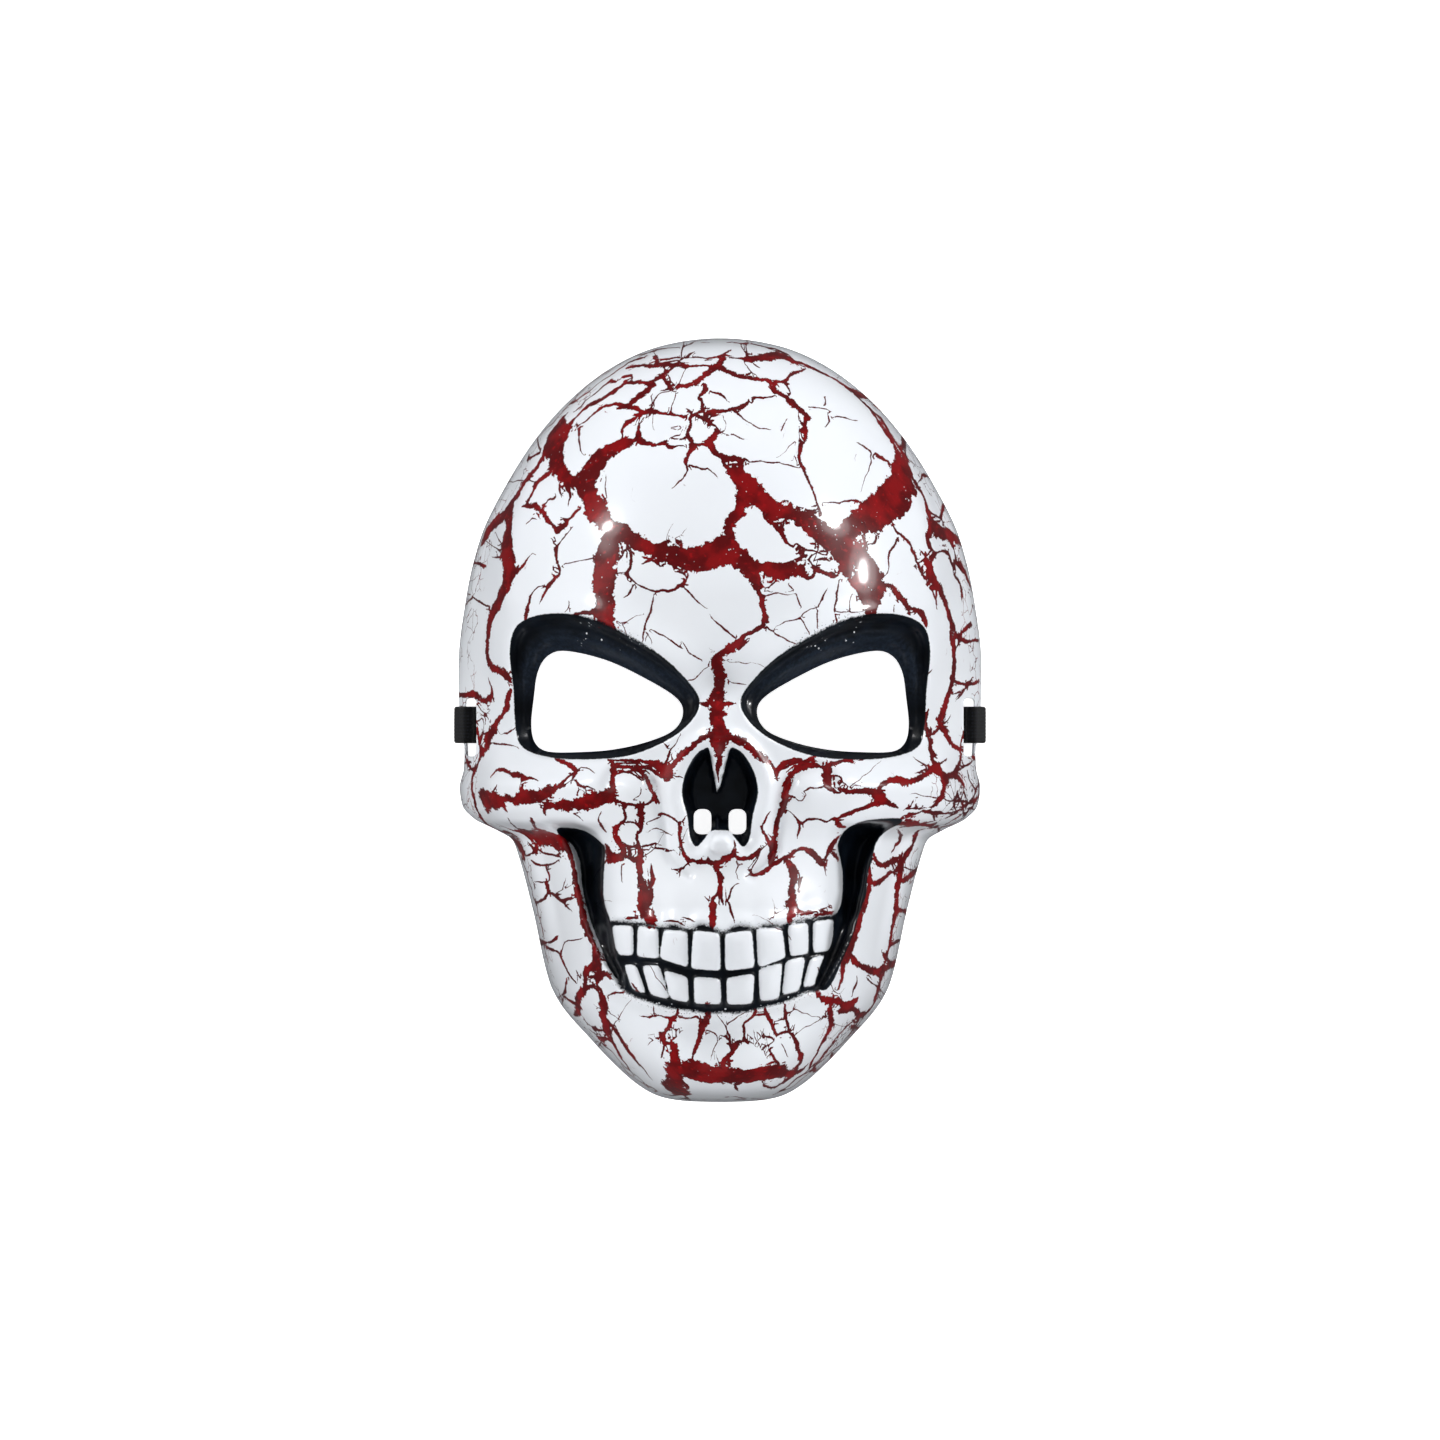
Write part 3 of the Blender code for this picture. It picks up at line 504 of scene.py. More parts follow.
def nose(x, y):
    """A lipped hollow, with a blade down its middle and a ball under it."""
    inside = depth_inside(NOSE_LINE, x, y)
    down = smoothstep(0.0, 3.4, inside)
    share = np.clip((y - BLADE_FOOT) / BLADE_TALL, 0.0, 1.0)
    blade = 1.0 - smoothstep(0.8, 1.25, off_blade_line(x, share) / (BLADE_HALF * share + 0.1))
    ball = np.sqrt(np.maximum(1.0 - ((x - BALL_X) ** 2 + (y - BALL_Y) ** 2) / BALL_RADIUS**2, 0.0))
    lip = NOSE_LIP * hump(inside + 3.0, 2.6)
    return lip - NOSE_DEPTH * down * (1.0 - 0.9 * blade) + BALL_RISE * ball


def cheek_across(side, y):
    """Place across the cheek hollow: 0 on its middle line, 1 at its sides."""
    inner, outer = (through(y, CHEEK_HOLLOW[:, 0], CHEEK_HOLLOW[:, k]) for k in (1, 2))
    return (side - (inner + outer) / 2.0) / ((outer - inner) / 2.0)


def cheeks(side, y):
    """The cheekbone's bar, the drop under it, and the hollow beside the teeth."""
    bone_rise, bone_y, bone_reach, jaw_drop = 5.0, -21.0, 10.0, 6.0
    bar = bone_rise * hump(y - bone_y, bone_reach) * smoothstep(18.0, 46.0, side)
    under = smoothstep(-32.5, -37.5, y) * (1.0 - smoothstep(-62.0, -92.0, y))
    drop = jaw_drop * under * smoothstep(33.0, 43.0, side)
    depth = through(y, CHEEK_HOLLOW[:, 0], CHEEK_HOLLOW[:, 3])
    ends = smoothstep(-31.5, -35.0, y) * smoothstep(-89.0, -84.0, y)
    return bar - drop - depth * ends * (1.0 - smoothstep(0.35, 1.15, np.abs(cheek_across(side, y))))


def fine_relief(x, y):
    """Small forms: swelling under each eye, folds beside the nose, and ribs over the tooth roots."""
    knob_x, knob_y, knob_rise, furrow, rib_rise = 29.0, -22.9, 2.4, 1.6, 0.7
    right_fold, left_fold, fold_reach = 2.2, 1.5, 1.7
    side = np.abs(x)
    knob = np.hypot(side - knob_x, y - knob_y)
    knobs = knob_rise * hump(knob, 4.6) - furrow * hump(knob - 8.0, 1.8) * smoothstep(-25.0, -19.0, y)
    fold = beside_line(NOSE_FOLD, side, y)
    folds = -np.where(x > 0.0, right_fold, left_fold) * hump(fold, fold_reach)
    roots = TEETH[:UPPER_TEETH, :2, 0]
    ribs = sum(rib_rise * hump(x - 0.5 * (a + b), 0.55 * (b - a)) for a, b in roots)
    return knobs + folds + ribs * smoothstep(-67.5, -63.0, y) * smoothstep(-50.0, -59.0, y)


def temple(side, y):
    """A ridge down the forehead's side, and the flatter temple beyond it."""
    beyond = beside_line(TEMPLE_RIDGE, side, y)
    before_rim = 1.0 - smoothstep(0.95, 0.995, share_across(side, y))
    level = smoothstep(112.0, 96.0, y) * smoothstep(30.0, 42.0, y) * before_rim
    ridge, sunk = 0.8, 2.0
    return level * (ridge * hump(beyond, 3.5) - sunk * smoothstep(0.0, 9.0, beyond))


def in_tooth(x, y):
    """Distance inside the nearest tooth: a smooth least of the distances from its four sides."""
    start, run = TEETH, np.roll(TEETH, -1, 1) - TEETH
    px, py = x[..., None, None] - start[..., 0], y[..., None, None] - start[..., 1]
    within = (px * run[..., 1] - py * run[..., 0]) / np.hypot(run[..., 0], run[..., 1])
    within = np.clip(within, -20.0, 20.0)
    return TOOTH_GROWTH + (-TOOTH_CORNER * np.log(np.exp(-within / TOOTH_CORNER).sum(-1))).max(-1)


def teeth(x, y):
    """Tiles raised and a little domed in the mouth's window, and gums raised round it."""
    window = depth_inside(MOUTH_LINE, x, y)
    inside = in_tooth(x, y)
    tile = TILE_RISE * smoothstep(-0.8, 0.6, inside) + TILE_DOME * smoothstep(0.0, 3.4, inside)
    gum = GUM_RISE * (1.0 - smoothstep(0.0, 6.0, -window)) * smoothstep(0.2, -1.4, window)
    return np.where(window > 0.0, tile, gum)


def face_height(x, y, fine=True):
    """The outer face: the bare skull and its relief, which fades out before the rim."""
    side = np.abs(x)
    relief = eye_socket(side, y) + nose(x, y) + cheeks(side, y)
    relief += sum(rise * hump(x, wide) * hump(y - at, tall) for rise, wide, at, tall in MIDDLE_SWELLINGS)
    fade = 1.0 - smoothstep(0.86, 0.97, share_across(x, y))
    height = plain_form(x, y) + fade * relief
    return height + (fade * fine_relief(x, y) + temple(side, y) + teeth(x, y) if fine else 0.0)


def outline_arc(corner_y, end_y, share):
    """Points on the outline's end arc: share 0 on the middle line, 1 or -1 at a corner."""
    t = np.linspace(0.0, 1.0, 400)
    y = end_y + (corner_y - end_y) * t**2
    x = half_width(y)
    along = np.concatenate([[0.0], np.cumsum(np.hypot(np.diff(x), np.diff(y)))])
    at = np.abs(share) * along[-1]
    return np.sign(share) * np.interp(at, along, x), np.interp(at, along, y)


def end_patch(columns, patch_y, corner_y, end_y, rows):
    """A four-sided patch between the outline's end arc (row 0) and the straight line at patch_y.

    A place is the arc and the line blended, plus the two sides blended, less the corners blended.
    """
    c, t = columns[None, :], ((np.arange(rows) / rows) ** CROWDING)[:, None]
    arc_x, arc_y = (v[None, :] for v in outline_arc(corner_y, end_y, columns))
    side_y = corner_y + (patch_y - corner_y) * t
    corner_x, side_x, line_x = half_width(corner_y), half_width(side_y), half_width(patch_y)
    x = (1 - t) * arc_x + t * c * line_x + c * (side_x - (1 - t) * corner_x - t * line_x)
    y = (1 - t) * arc_y + t * patch_y + side_y - (1 - t) * corner_y - t * patch_y
    return x, y


def face_grid():
    """Places in plan of the grid's points, rows from crown to chin and columns across."""
    t = np.arange(1, SIDE_COLUMNS + 1) / SIDE_COLUMNS
    outer_part = SIDE_START + (1.0 - SIDE_START) * (0.25 * t + 0.75 * np.sin(0.5 * np.pi * t))
    half = np.concatenate([np.linspace(0.0, SIDE_START, MIDDLE_COLUMNS), outer_part])
    columns = np.concatenate([-half[:0:-1], half])
    rows = [np.linspace(a, b, n, endpoint=False) for a, b, n in ROW_RUNS]
    lines = np.concatenate(rows + [[CHIN_PATCH[0]]])
    top, bottom = (end_patch(columns, *patch) for patch in (CROWN_PATCH, CHIN_PATCH))
    middle_y = np.repeat(lines[:, None], len(columns), axis=1)
    middle = (columns[None, :] * half_width(middle_y), middle_y)
    return (np.concatenate([a, b, c[::-1]]) for a, b, c in zip(top, middle, bottom))


def rounded_box(centre, size, corner, steps=6):
    """An anticlockwise outline of a box with round corners: a quarter circle at each corner."""
    angle = 0.5 * np.pi * (np.arange(4)[:, None] + np.arange(steps + 1) / steps)
    sign_x, sign_y = np.array([1, -1, -1, 1])[:, None], np.array([1, 1, -1, -1])[:, None]
    x = centre[0] + sign_x * (size[0] / 2 - corner) + corner * np.cos(angle)
    y = centre[1] + sign_y * (size[1] / 2 - corner) + corner * np.sin(angle)
    return np.stack([x, y], axis=-1).reshape(-1, 2)


def hole_outlines():
    """Eye hole, nostril and strap slot, on both sides, each anticlockwise."""
    outlines = []
    for outline in (EYE_LINE, rounded_box(*NOSTRIL), rounded_box(*STRAP_SLOT)):
        for sign in (1.0, -1.0):
            p = outline * (sign, 1.0)
            q = np.roll(p, -1, 0)
            turns_left = (p[:, 0] * q[:, 1] - q[:, 0] * p[:, 1]).sum() > 0
            outlines.append(p if turns_left else p[::-1])
    return outlines


def to_edge(outline, x, y):
    """From each place to the outline's nearest point: that point, and the direction out of the hole."""
    run = np.roll(outline, -1, 0) - outline
    _, _, t, away = from_runs(outline, run, x, y)
    k = away.argmin(1)
    nearest = outline[k] + run[k] * t[np.arange(len(x)), k][:, None]
    out = np.stack([run[k][:, 1], -run[k][:, 0]], axis=1)
    return nearest, out / np.linalg.norm(out, axis=1, keepdims=True)


def four_beside(padded):
    """The sum of each value's four neighbours, in a grid with one more row and column on every side."""
    return padded[:-2, 1:-1] + padded[2:, 1:-1] + padded[1:-1, :-2] + padded[1:-1, 2:]


def spread(values, keep, passes):
    """Values held where keep is set, and elsewhere averaged again and again over their neighbours."""
    held = values.copy()
    for _ in range(passes):
        around = four_beside(np.pad(values, ((1, 1), (1, 1), (0, 0)), mode="edge"))
        values = np.where(keep[..., None], held, 0.25 * around)
    return values


grid_x, grid_y = face_grid()
rows, columns = grid_x.shape
points_in_face = rows * columns
outlines = hole_outlines()


def nearest_hole(x, y):
    """Depth inside the nearest hole, negative outside, and which hole it is."""
    depths = np.stack([depth_inside(o, x, y) for o in outlines])
    return depths.max(0), depths.argmax(0)


centre_x, centre_y = (0.25 * (v[:-1, :-1] + v[1:, :-1] + v[:-1, 1:] + v[1:, 1:]) for v in (grid_x, grid_y))
cut = nearest_hole(centre_x, centre_y)[0] > 0.0
for _ in range(3):
    beside = four_beside(np.pad(cut, 1).astype(int))
    cut = np.where(beside >= 3, True, np.where(beside == 0, False, cut))

corner = np.arange(points_in_face).reshape(rows, columns)
quads = np.stack([corner[:-1, :-1], corner[1:, :-1], corner[1:, 1:], corner[:-1, 1:]], axis=-1)[~cut]
edges = np.concatenate([quads[:, (k, (k + 1) % 4)] for k in range(4)])
forward, backward = edges[:, 0] * points_in_face + edges[:, 1], edges[:, 1] * points_in_face + edges[:, 0]
open_edges = edges[~np.isin(forward, backward)]
on_rim = np.ones((rows, columns), bool)
on_rim[1:-1, 1:-1] = False
on_edge = np.zeros(points_in_face, bool)
on_edge[open_edges.ravel()] = True
at_hole = on_edge & ~on_rim.ravel()

flat_x, flat_y = grid_x.ravel().copy(), grid_y.ravel().copy()
which_hole = nearest_hole(flat_x[at_hole], flat_y[at_hole])[1]
edge_way = np.zeros((points_in_face, 3))
edge_way[on_rim.ravel()] = (0.0, 0.0, -1.0)
hole_points = np.flatnonzero(at_hole)
shift = np.zeros((points_in_face, 2))
for number, outline in enumerate(outlines):
    mine = hole_points[which_hole == number]
    nearest, out = to_edge(outline, flat_x[mine], flat_y[mine])
    shift[mine] = nearest + EDGE_ROUND * out - np.stack([flat_x[mine], flat_y[mine]], axis=1)
    edge_way[mine, :2] = -out
held = (at_hole | on_rim.ravel()).reshape(rows, columns)
shift = spread(shift.reshape(rows, columns, 2), held, SHIFT_PASSES)
grid_x, grid_y = grid_x + shift[..., 0], grid_y + shift[..., 1]

outer_z = face_height(grid_x, grid_y)
rim_z = plain_form(np.sign(grid_x) * half_width(grid_y), grid_y)
rim_z[[0, -1]] = 0.0
outer_z[on_rim] = rim_z[on_rim] + EDGE_ROUND
outer = np.stack([grid_x, grid_y, outer_z], axis=-1)

soft_z = face_height(grid_x, grid_y, fine=False)
soft_z[on_rim] = outer_z[on_rim]
# The inner face follows a smoothed face, which stands over the true one by BACKING_OVER at most
even_z = spread(soft_z[..., None], on_rim, BACKING_PASSES)[..., 0]
backing_z = np.minimum(even_z, np.minimum(soft_z, outer_z) + BACKING_OVER)
backing = np.stack([grid_x, grid_y, backing_z], axis=-1)
down, across = np.gradient(backing, axis=0), np.gradient(backing, axis=1)
normal = np.cross(across, -down)
normal /= np.linalg.norm(normal, axis=-1, keepdims=True)
level = normal * (1.0, 1.0, 0.0)
level /= np.maximum(np.linalg.norm(level, axis=-1, keepdims=True), 1e-6)
from_hole = -nearest_hole(grid_x, grid_y)[0]
upright = 1.0 - smoothstep(0.6, 4.0, from_hole)[..., None]
straight = np.stack([0 * grid_x, 0 * grid_x, 1.0 / np.maximum(normal[..., 2], 0.45)], axis=-1)
thickness = np.where(on_rim[..., None], level, normal * (1.0 - upright) + straight * upright)
inner = backing - WALL * thickness
inner[..., 2] = np.where(at_hole.reshape(rows, columns), outer_z - WALL * straight[..., 2], inner[..., 2])

edge_points = np.flatnonzero(on_edge)
ring_number = np.zeros(points_in_face, int)
ring_number[edge_points] = np.arange(len(edge_points))
flat_outer, flat_inner = outer.reshape(-1, 3), inner.reshape(-1, 3)
edge_outer, edge_inner, push_way = flat_outer[edge_points], flat_inner[edge_points], edge_way[edge_points]
edge_rings = [
    edge_outer * (1 - t) + edge_inner * t + EDGE_ROUND * push * push_way for t, push in EDGE_RINGS
]
shell_points = np.concatenate([flat_outer, flat_inner] + edge_rings)


def two_triangles(quads, points):
    """Each four-sided face split along its shorter diagonal."""
    a, b, c, d = (points[quads[:, k]] for k in range(4))
    short = np.linalg.norm(a - c, axis=1) < np.linalg.norm(b - d, axis=1)
    one = np.where(short[:, None], quads[:, (0, 1, 2)], quads[:, (0, 1, 3)])
    two = np.where(short[:, None], quads[:, (0, 2, 3)], quads[:, (1, 2, 3)])
    return np.concatenate([one, two])


strips = [edge_points] + [
    2 * points_in_face + k * len(edge_points) + np.arange(len(edge_points)) for k in range(len(EDGE_RINGS))
] + [edge_points + points_in_face]
head, tail = ring_number[open_edges[:, 0]], ring_number[open_edges[:, 1]]
edge_quads = np.concatenate([
    np.stack([upper[tail], upper[head], lower[head], lower[tail]], axis=1)
    for upper, lower in zip(strips[:-1], strips[1:])
])
shell_faces = np.concatenate([
    two_triangles(quads, shell_points),
    two_triangles(quads[:, ::-1] + points_in_face, shell_points),
    two_triangles(edge_quads, shell_points),
])
used, shell_faces = np.unique(shell_faces, return_inverse=True)
shell_faces = shell_faces.reshape(-1, 3)

# Crackle: a dark red print of torn cracks all over the white, each charted as a line of places and
# widths in mm. Hairlines branch off it. It is printed on the shell before the black.
CRACKS = (
    # X, Y, width. Forehead
    ((-26, 91, 1.8), (-29, 90.2, 2.4), (-33, 88.9, 3.8), (-36.5, 86.8, 5), (-39.8, 84, 6), (-42.3, 80, 7),
    (-43.4, 76.5, 6.6), (-42.4, 73, 6.4), (-41.5, 70, 7), (-39.8, 67, 7.2), (-37, 63.7, 6.4),
    (-33.5, 61.3, 5.6), (-30, 59.5, 5.8), (-27, 57.5, 6), (-24, 56.3, 5.2), (-21.5, 55.3, 4.2),
    (-18.5, 54, 6.6), (-15.5, 53.6, 6.4), (-12, 52.1, 7.2), (-9, 51.8, 8.6), (-6, 52.3, 8.8), (-3, 53.3, 9.8),
    (0, 54.3, 9.8), (2.5, 54.6, 8.4), (5, 53, 7), (7, 51.4, 6.4), (9, 49.4, 6.2), (11, 46.6, 5),
    (12, 44, 3.6), (12.3, 42.5, 2.1), (13, 40.5, 1.7), (13.6, 38, 1.9), (14, 36, 2), (14.5, 34, 2.2),
    (14.5, 32, 2.5), (13.5, 30.3, 2.1), (11.5, 29, 1.6), (9.5, 28, 1.5), (7.5, 26.8, 1.7), (6, 25, 2.6),
    (4, 23.5, 3), (2, 22, 2.5), (0, 21, 2.3), (-1.5, 19.6, 2.6), (-0.6, 16, 3.8), (-0.2, 12, 4.2),
    (-0.5, 8.5, 4.4), (-1, 5.5, 6.4), (-0.8, 2, 4.8), (-0.6, -2, 5.2), (-0.6, -5, 5.8), (-0.5, -9.5, 3.8),
    (-0.4, -14, 2.4), (-0.4, -19.5, 0.4)),
    ((-33.5, 60.8, 5.2), (-35.5, 57.5, 6.5), (-36.2, 55, 7.3), (-37.3, 52, 7.5), (-37.6, 46, 7.6),
    (-37.6, 42, 6.9), (-37.2, 38, 7.2), (-37.3, 35, 6.6), (-36.9, 30.5, 6.4)),
    ((-39.5, 34.6, 2.2), (-41.5, 34.8, 1.8), (-44, 34.6, 1.5), (-47, 34, 1.4)),
    ((39, 60.5, 5), (42, 62.3, 6.8), (45, 64, 8.6), (48, 65.5, 10.4), (51, 67.8, 10.8), (54, 70, 10.8),
    (56.5, 72.3, 10.4), (58.5, 75, 8.6), (59.7, 78, 6.2), (59.7, 81, 4.8), (59.2, 84, 3.2), (58.3, 86.5, 2.4),
    (57.3, 89, 1.4)),
    ((56, 68, 4.6), (58.5, 67.6, 3.4), (60.4, 68.4, 2.4), (62, 70.6, 1)),
    ((60, 75.5, 4.6), (62, 75, 2.6), (63.3, 74.4, 1.2)),
    ((-6.6, 5.3, 0.9), (-4, 5.2, 1.8), (0, 5.5, 2), (4.2, 5.2, 0.9)),
    ((8.5, 25.2, 0.9), (7.5, 24, 1), (6, 22.8, 0.8)),
    ((-20, 57, 1), (-18, 57.4, 1), (-15, 57, 1), (-12.4, 57.3, 0.8)),
    ((-26, 90.8, 2), (-23.5, 89.8, 1.6), (-21.5, 89, 1.4), (-19.5, 89.5, 1.2), (-18, 90, 1.4),
    (-16.5, 88.5, 1.4), (-14.5, 88.7, 0.7), (-12, 88.9, 0.4)),
    ((-1, 94.5, 1), (-1.5, 92.5, 2.2), (-2.8, 91, 2.2), (-3.5, 89.5, 2.6), (-2.3, 87.5, 2.6),
    (-0.5, 85.8, 2.2), (1.2, 84.4, 1.3), (1.5, 82.6, 1.1), (2.8, 81, 1.6), (4.6, 80, 4.6), (7.5, 77.3, 6.4),
    (10, 74.3, 6.6), (13, 71.8, 6.6), (16, 69, 6.3), (18.5, 67.4, 5.6), (21, 67.3, 4.6), (24, 66.6, 4.6),
    (27, 64.8, 6), (30, 63, 6.6), (33, 60.6, 7.2), (36, 58.4, 8), (39.5, 56, 9.5), (43.5, 51.5, 11),
    (46.8, 46.8, 11.5), (48.6, 43, 9.5), (48.8, 40, 6.2), (49, 37, 4.6), (49, 35.3, 4)),
    ((-0.5, 86, 2), (3, 84.9, 1.9), (5.8, 84.4, 2), (6.9, 83, 2), (6.6, 81, 2.2)),
    ((20, 70.6, 0.6), (22, 70.9, 0.7), (23.5, 69.5, 1), (25, 68.8, 1), (27, 68.5, 0.8), (29, 67.7, 0.9),
    (31.5, 68, 0.6)),
    ((7.5, 75, 4), (7, 72.5, 4.6), (7, 69.5, 4.2), (6.3, 67.2, 4.2), (4.2, 65.2, 4.4), (3, 62.5, 3.8),
    (3, 60, 3.8), (3, 57, 5)),
    ((9.5, 70.6, 0.9), (11, 69.7, 1), (12.8, 70.8, 1.2)),
    ((13.8, 69, 1.5), (14.2, 67, 1.4), (14.6, 65.7, 1.4), (16, 64.5, 1.9), (18, 63, 2.3), (19.5, 61, 2.3),
    (20.8, 59, 1.9), (21.5, 57.5, 1.5), (22.8, 56.4, 1), (24, 55.8, 0.9), (25.5, 54.5, 1), (27, 53.4, 1.3)),
    ((19.8, 66, 1.2), (20.6, 64, 1), (20.5, 62.3, 0.9), (19.6, 61, 1)),
    ((25, 57, 0.7), (26, 56, 0.8), (27.5, 55, 0.7), (30, 54.8, 0.7), (32, 54, 0.7), (34.5, 53.5, 0.9)),
    ((25.4, 56.7, 0.5), (26.3, 54.8, 0.6), (27, 53.5, 0.8), (28, 52.5, 0.9), (29, 51.5, 0.9), (30, 50, 1),
    (31.5, 49.4, 0.9), (33, 48.2, 1.1), (34.5, 47.5, 1.3), (37.5, 46.8, 2)),
    ((29.3, 53.2, 0.5), (31, 52.2, 0.6), (33, 51.8, 0.6), (35, 51.8, 0.9)),
    ((10.5, 50, 3), (12.5, 49.4, 3.6), (15, 48.8, 4.8), (18, 48.2, 5.8), (21, 48, 5.6), (24, 48.6, 5.2),
    (26, 48.4, 3.8), (27.2, 46.6, 1.6), (28.6, 45.6, 1.2), (29.9, 46.3, 1.2), (30.5, 48, 1.2),
    (31.6, 48.7, 1.3), (33, 47.7, 1.5), (35, 47.1, 1.5), (37, 46.4, 1.8)),
    ((22, 50.8, 1), (24, 51.6, 1.3), (26, 52.4, 1.4), (27.2, 53.3, 1.1)),
    ((-29.8, 57.5, 1), (-30.4, 55.8, 0.8), (-29, 54.5, 0.9), (-28.7, 53, 1.2), (-28.9, 51, 1.5),
    (-29, 49, 1.3), (-30, 47.5, 1), (-29.7, 45.8, 0.7)),
    ((-31, 55, 0.8), (-32, 53, 1), (-33.3, 51.3, 1)),
    ((-29.8, 48, 0.3), (-31.5, 47.8, 0.3), (-33.2, 47.4, 0.4)),
    ((-29.3, 46.3, 0.6), (-28, 45, 0.7), (-27, 44, 0.6), (-25, 43, 0.7), (-22.5, 42, 0.7), (-20.3, 41.3, 0.8),
    (-18.5, 42, 0.9), (-17, 41.5, 0.8), (-15, 42, 1.1), (-13.5, 43, 1.4), (-12, 43.8, 1.5), (-11.2, 45.3, 1),
    (-10.4, 46.3, 0.6)),
    ((-12, 43.3, 0.6), (-10.5, 41.8, 0.7), (-9, 40.2, 0.7), (-7, 38, 0.5), (-4.8, 36.2, 0.35)),
    ((-28, 43.6, 0.9), (-29.2, 41, 0.9), (-30.8, 39.8, 0.3)),
    ((-24.6, 50.8, 0.6), (-22.5, 52, 1.2), (-21, 51.3, 1.3), (-20, 50.3, 1.4), (-18.3, 50, 1.2)),
    ((-13.8, 48, 0.8), (-12, 47.3, 1), (-10.7, 46.9, 0.8)),
    ((-21.5, 40, 0.3), (-22, 37.5, 0.7), (-22.3, 35.5, 0.8), (-23.5, 32.5, 0.7), (-24.5, 29, 0.6),
    (-24.8, 25.8, 0.35)),
    ((-24.4, 29.3, 0.3), (-23, 27, 0.3), (-22, 25, 0.25)),
    ((-21.7, 29.2, 0.4), (-20, 28, 0.6), (-18, 27.2, 0.6), (-15.5, 25.5, 0.6), (-13.8, 24.2, 0.5),
    (-12, 23, 0.4)),
    ((-12, 24.8, 0.35), (-10, 21.5, 0.5), (-8.5, 20.8, 0.7), (-6.3, 19.5, 0.5)),
    ((-3, 33.6, 0.4), (-1.5, 31.8, 0.6), (0.5, 30.3, 0.7), (2.5, 28.5, 0.8), (5.2, 26.2, 0.8)),
    ((15, 30.2, 0.7), (17, 28.8, 0.6), (19.5, 27, 0.5), (22, 25.5, 0.5), (24, 24.8, 0.4)),
    ((18.3, 30.3, 0.3), (21, 31.8, 0.4), (24, 32.3, 0.4), (26, 32.8, 0.5), (27.3, 34.8, 0.5), (29, 35.8, 0.4),
    (31, 36.3, 0.3)),
    ((26, 32.8, 0.4), (27.5, 30.5, 0.4), (28.8, 28.3, 0.35)),
    ((34.5, 42, 0.3), (33, 39, 0.7), (31.8, 37, 0.5), (31.3, 34, 0.4), (31.4, 29.8, 0.3)),
    ((22, 43.8, 0.4), (23.8, 42, 0.5), (25, 39.5, 0.5), (26, 36.8, 0.35)),
    ((14.3, 43, 0.4), (15.5, 42.4, 0.4), (17, 44, 0.6), (18.2, 45.2, 0.6)),
    ((38.5, 45, 0.5), (37.7, 41, 0.7), (37.1, 37, 0.6), (37.3, 34, 0.6), (37.8, 32.3, 0.7)),
    ((43, 41, 0.3), (42, 38.5, 0.35), (41.9, 35.3, 0.3)),
    ((8, 84.6, 0.8), (9.5, 83.6, 0.8), (12, 83.8, 0.6), (15, 83.5, 0.6), (19, 83.5, 0.5), (22, 82.7, 0.45),
    (25.2, 81.8, 0.3)),
    ((-9.5, 82.5, 0.5), (-8, 82, 0.8), (-6.5, 81.5, 0.7), (-5, 81.2, 0.6), (-4, 81.6, 0.6), (-3, 80.5, 0.5),
    (-1, 78.8, 0.3)),
    ((-37, 79, 0.3), (-37.3, 76, 0.4), (-37, 73.8, 0.4), (-36.5, 71.5, 0.3)),
    ((-10, 12.8, 0.4), (-8, 13.3, 0.4), (-6, 15.5, 0.4), (-4.5, 17, 0.4)),
    ((1.2, 13.5, 0.4), (2.5, 12.8, 0.4), (3.8, 12, 0.4), (8, 11.5, 0.3)),
    # Left temple and crown side
    ((-50.5, 99.5, 0.8), (-52.3, 97.5, 1.6), (-53.5, 94.5, 4.5), (-53.6, 91, 6.4), (-53.5, 88, 5),
    (-53.3, 85, 3.4), (-52.8, 82.5, 5), (-50.5, 79.5, 5.2), (-48.5, 77.5, 4.5), (-45.5, 77, 4)),
    ((-49.5, 76.5, 2.4), (-49, 74.5, 1.8), (-48.3, 72.5, 0.8), (-49.3, 70, 0.3)),
    ((-52.2, 77, 0.9), (-52.2, 75, 0.8), (-51.3, 72.5, 0.3)),
    ((-51.3, 93.5, 1.2), (-49.5, 95.5, 1), (-47.8, 97.8, 0.7), (-46, 99.5, 0.7), (-44, 101.5, 1),
    (-42, 103, 1.2), (-39, 104.4, 1.2), (-36.5, 106, 1.2), (-33.5, 107.9, 1.3), (-31, 109.7, 1.1)),
    ((-44.8, 96.5, 0.4), (-42, 99, 0.7), (-40, 100.5, 0.9), (-38, 102, 0.9), (-36, 102.3, 0.9),
    (-34, 102.8, 1.1), (-31.5, 102.5, 1), (-30, 102, 1.4)),
    ((-56.5, 88.5, 1), (-58, 86, 1), (-59.5, 82.5, 1.3), (-61.5, 80.5, 1.6), (-63, 78.5, 1.6),
    (-64.5, 76, 1.7), (-66, 73, 1.9), (-67.5, 71.5, 2.3), (-69, 69, 2.8)),
    ((-54, 81.5, 2), (-56, 80, 1.6), (-58, 78.5, 1.4), (-59.8, 77, 1.1), (-60.5, 75, 0.8), (-61.5, 73, 0.8),
    (-63, 70.5, 0.5)),
    ((-64, 69.8, 0.8), (-62, 69.6, 1.7), (-60.5, 70, 2.5), (-58.5, 68.5, 2.5), (-57, 66.5, 1.9),
    (-55.5, 64.2, 1.5), (-54, 62.8, 1.4), (-52.5, 61.3, 1.8), (-50.5, 63, 1.6), (-49, 65, 1.1),
    (-47.5, 66.8, 1.2), (-45, 68.6, 0.9)),
    ((-62.8, 64, 0.3), (-61, 65.8, 0.4), (-59.5, 65.2, 0.3)),
    ((-51.5, 65.5, 0.3), (-49, 65, 0.4)),
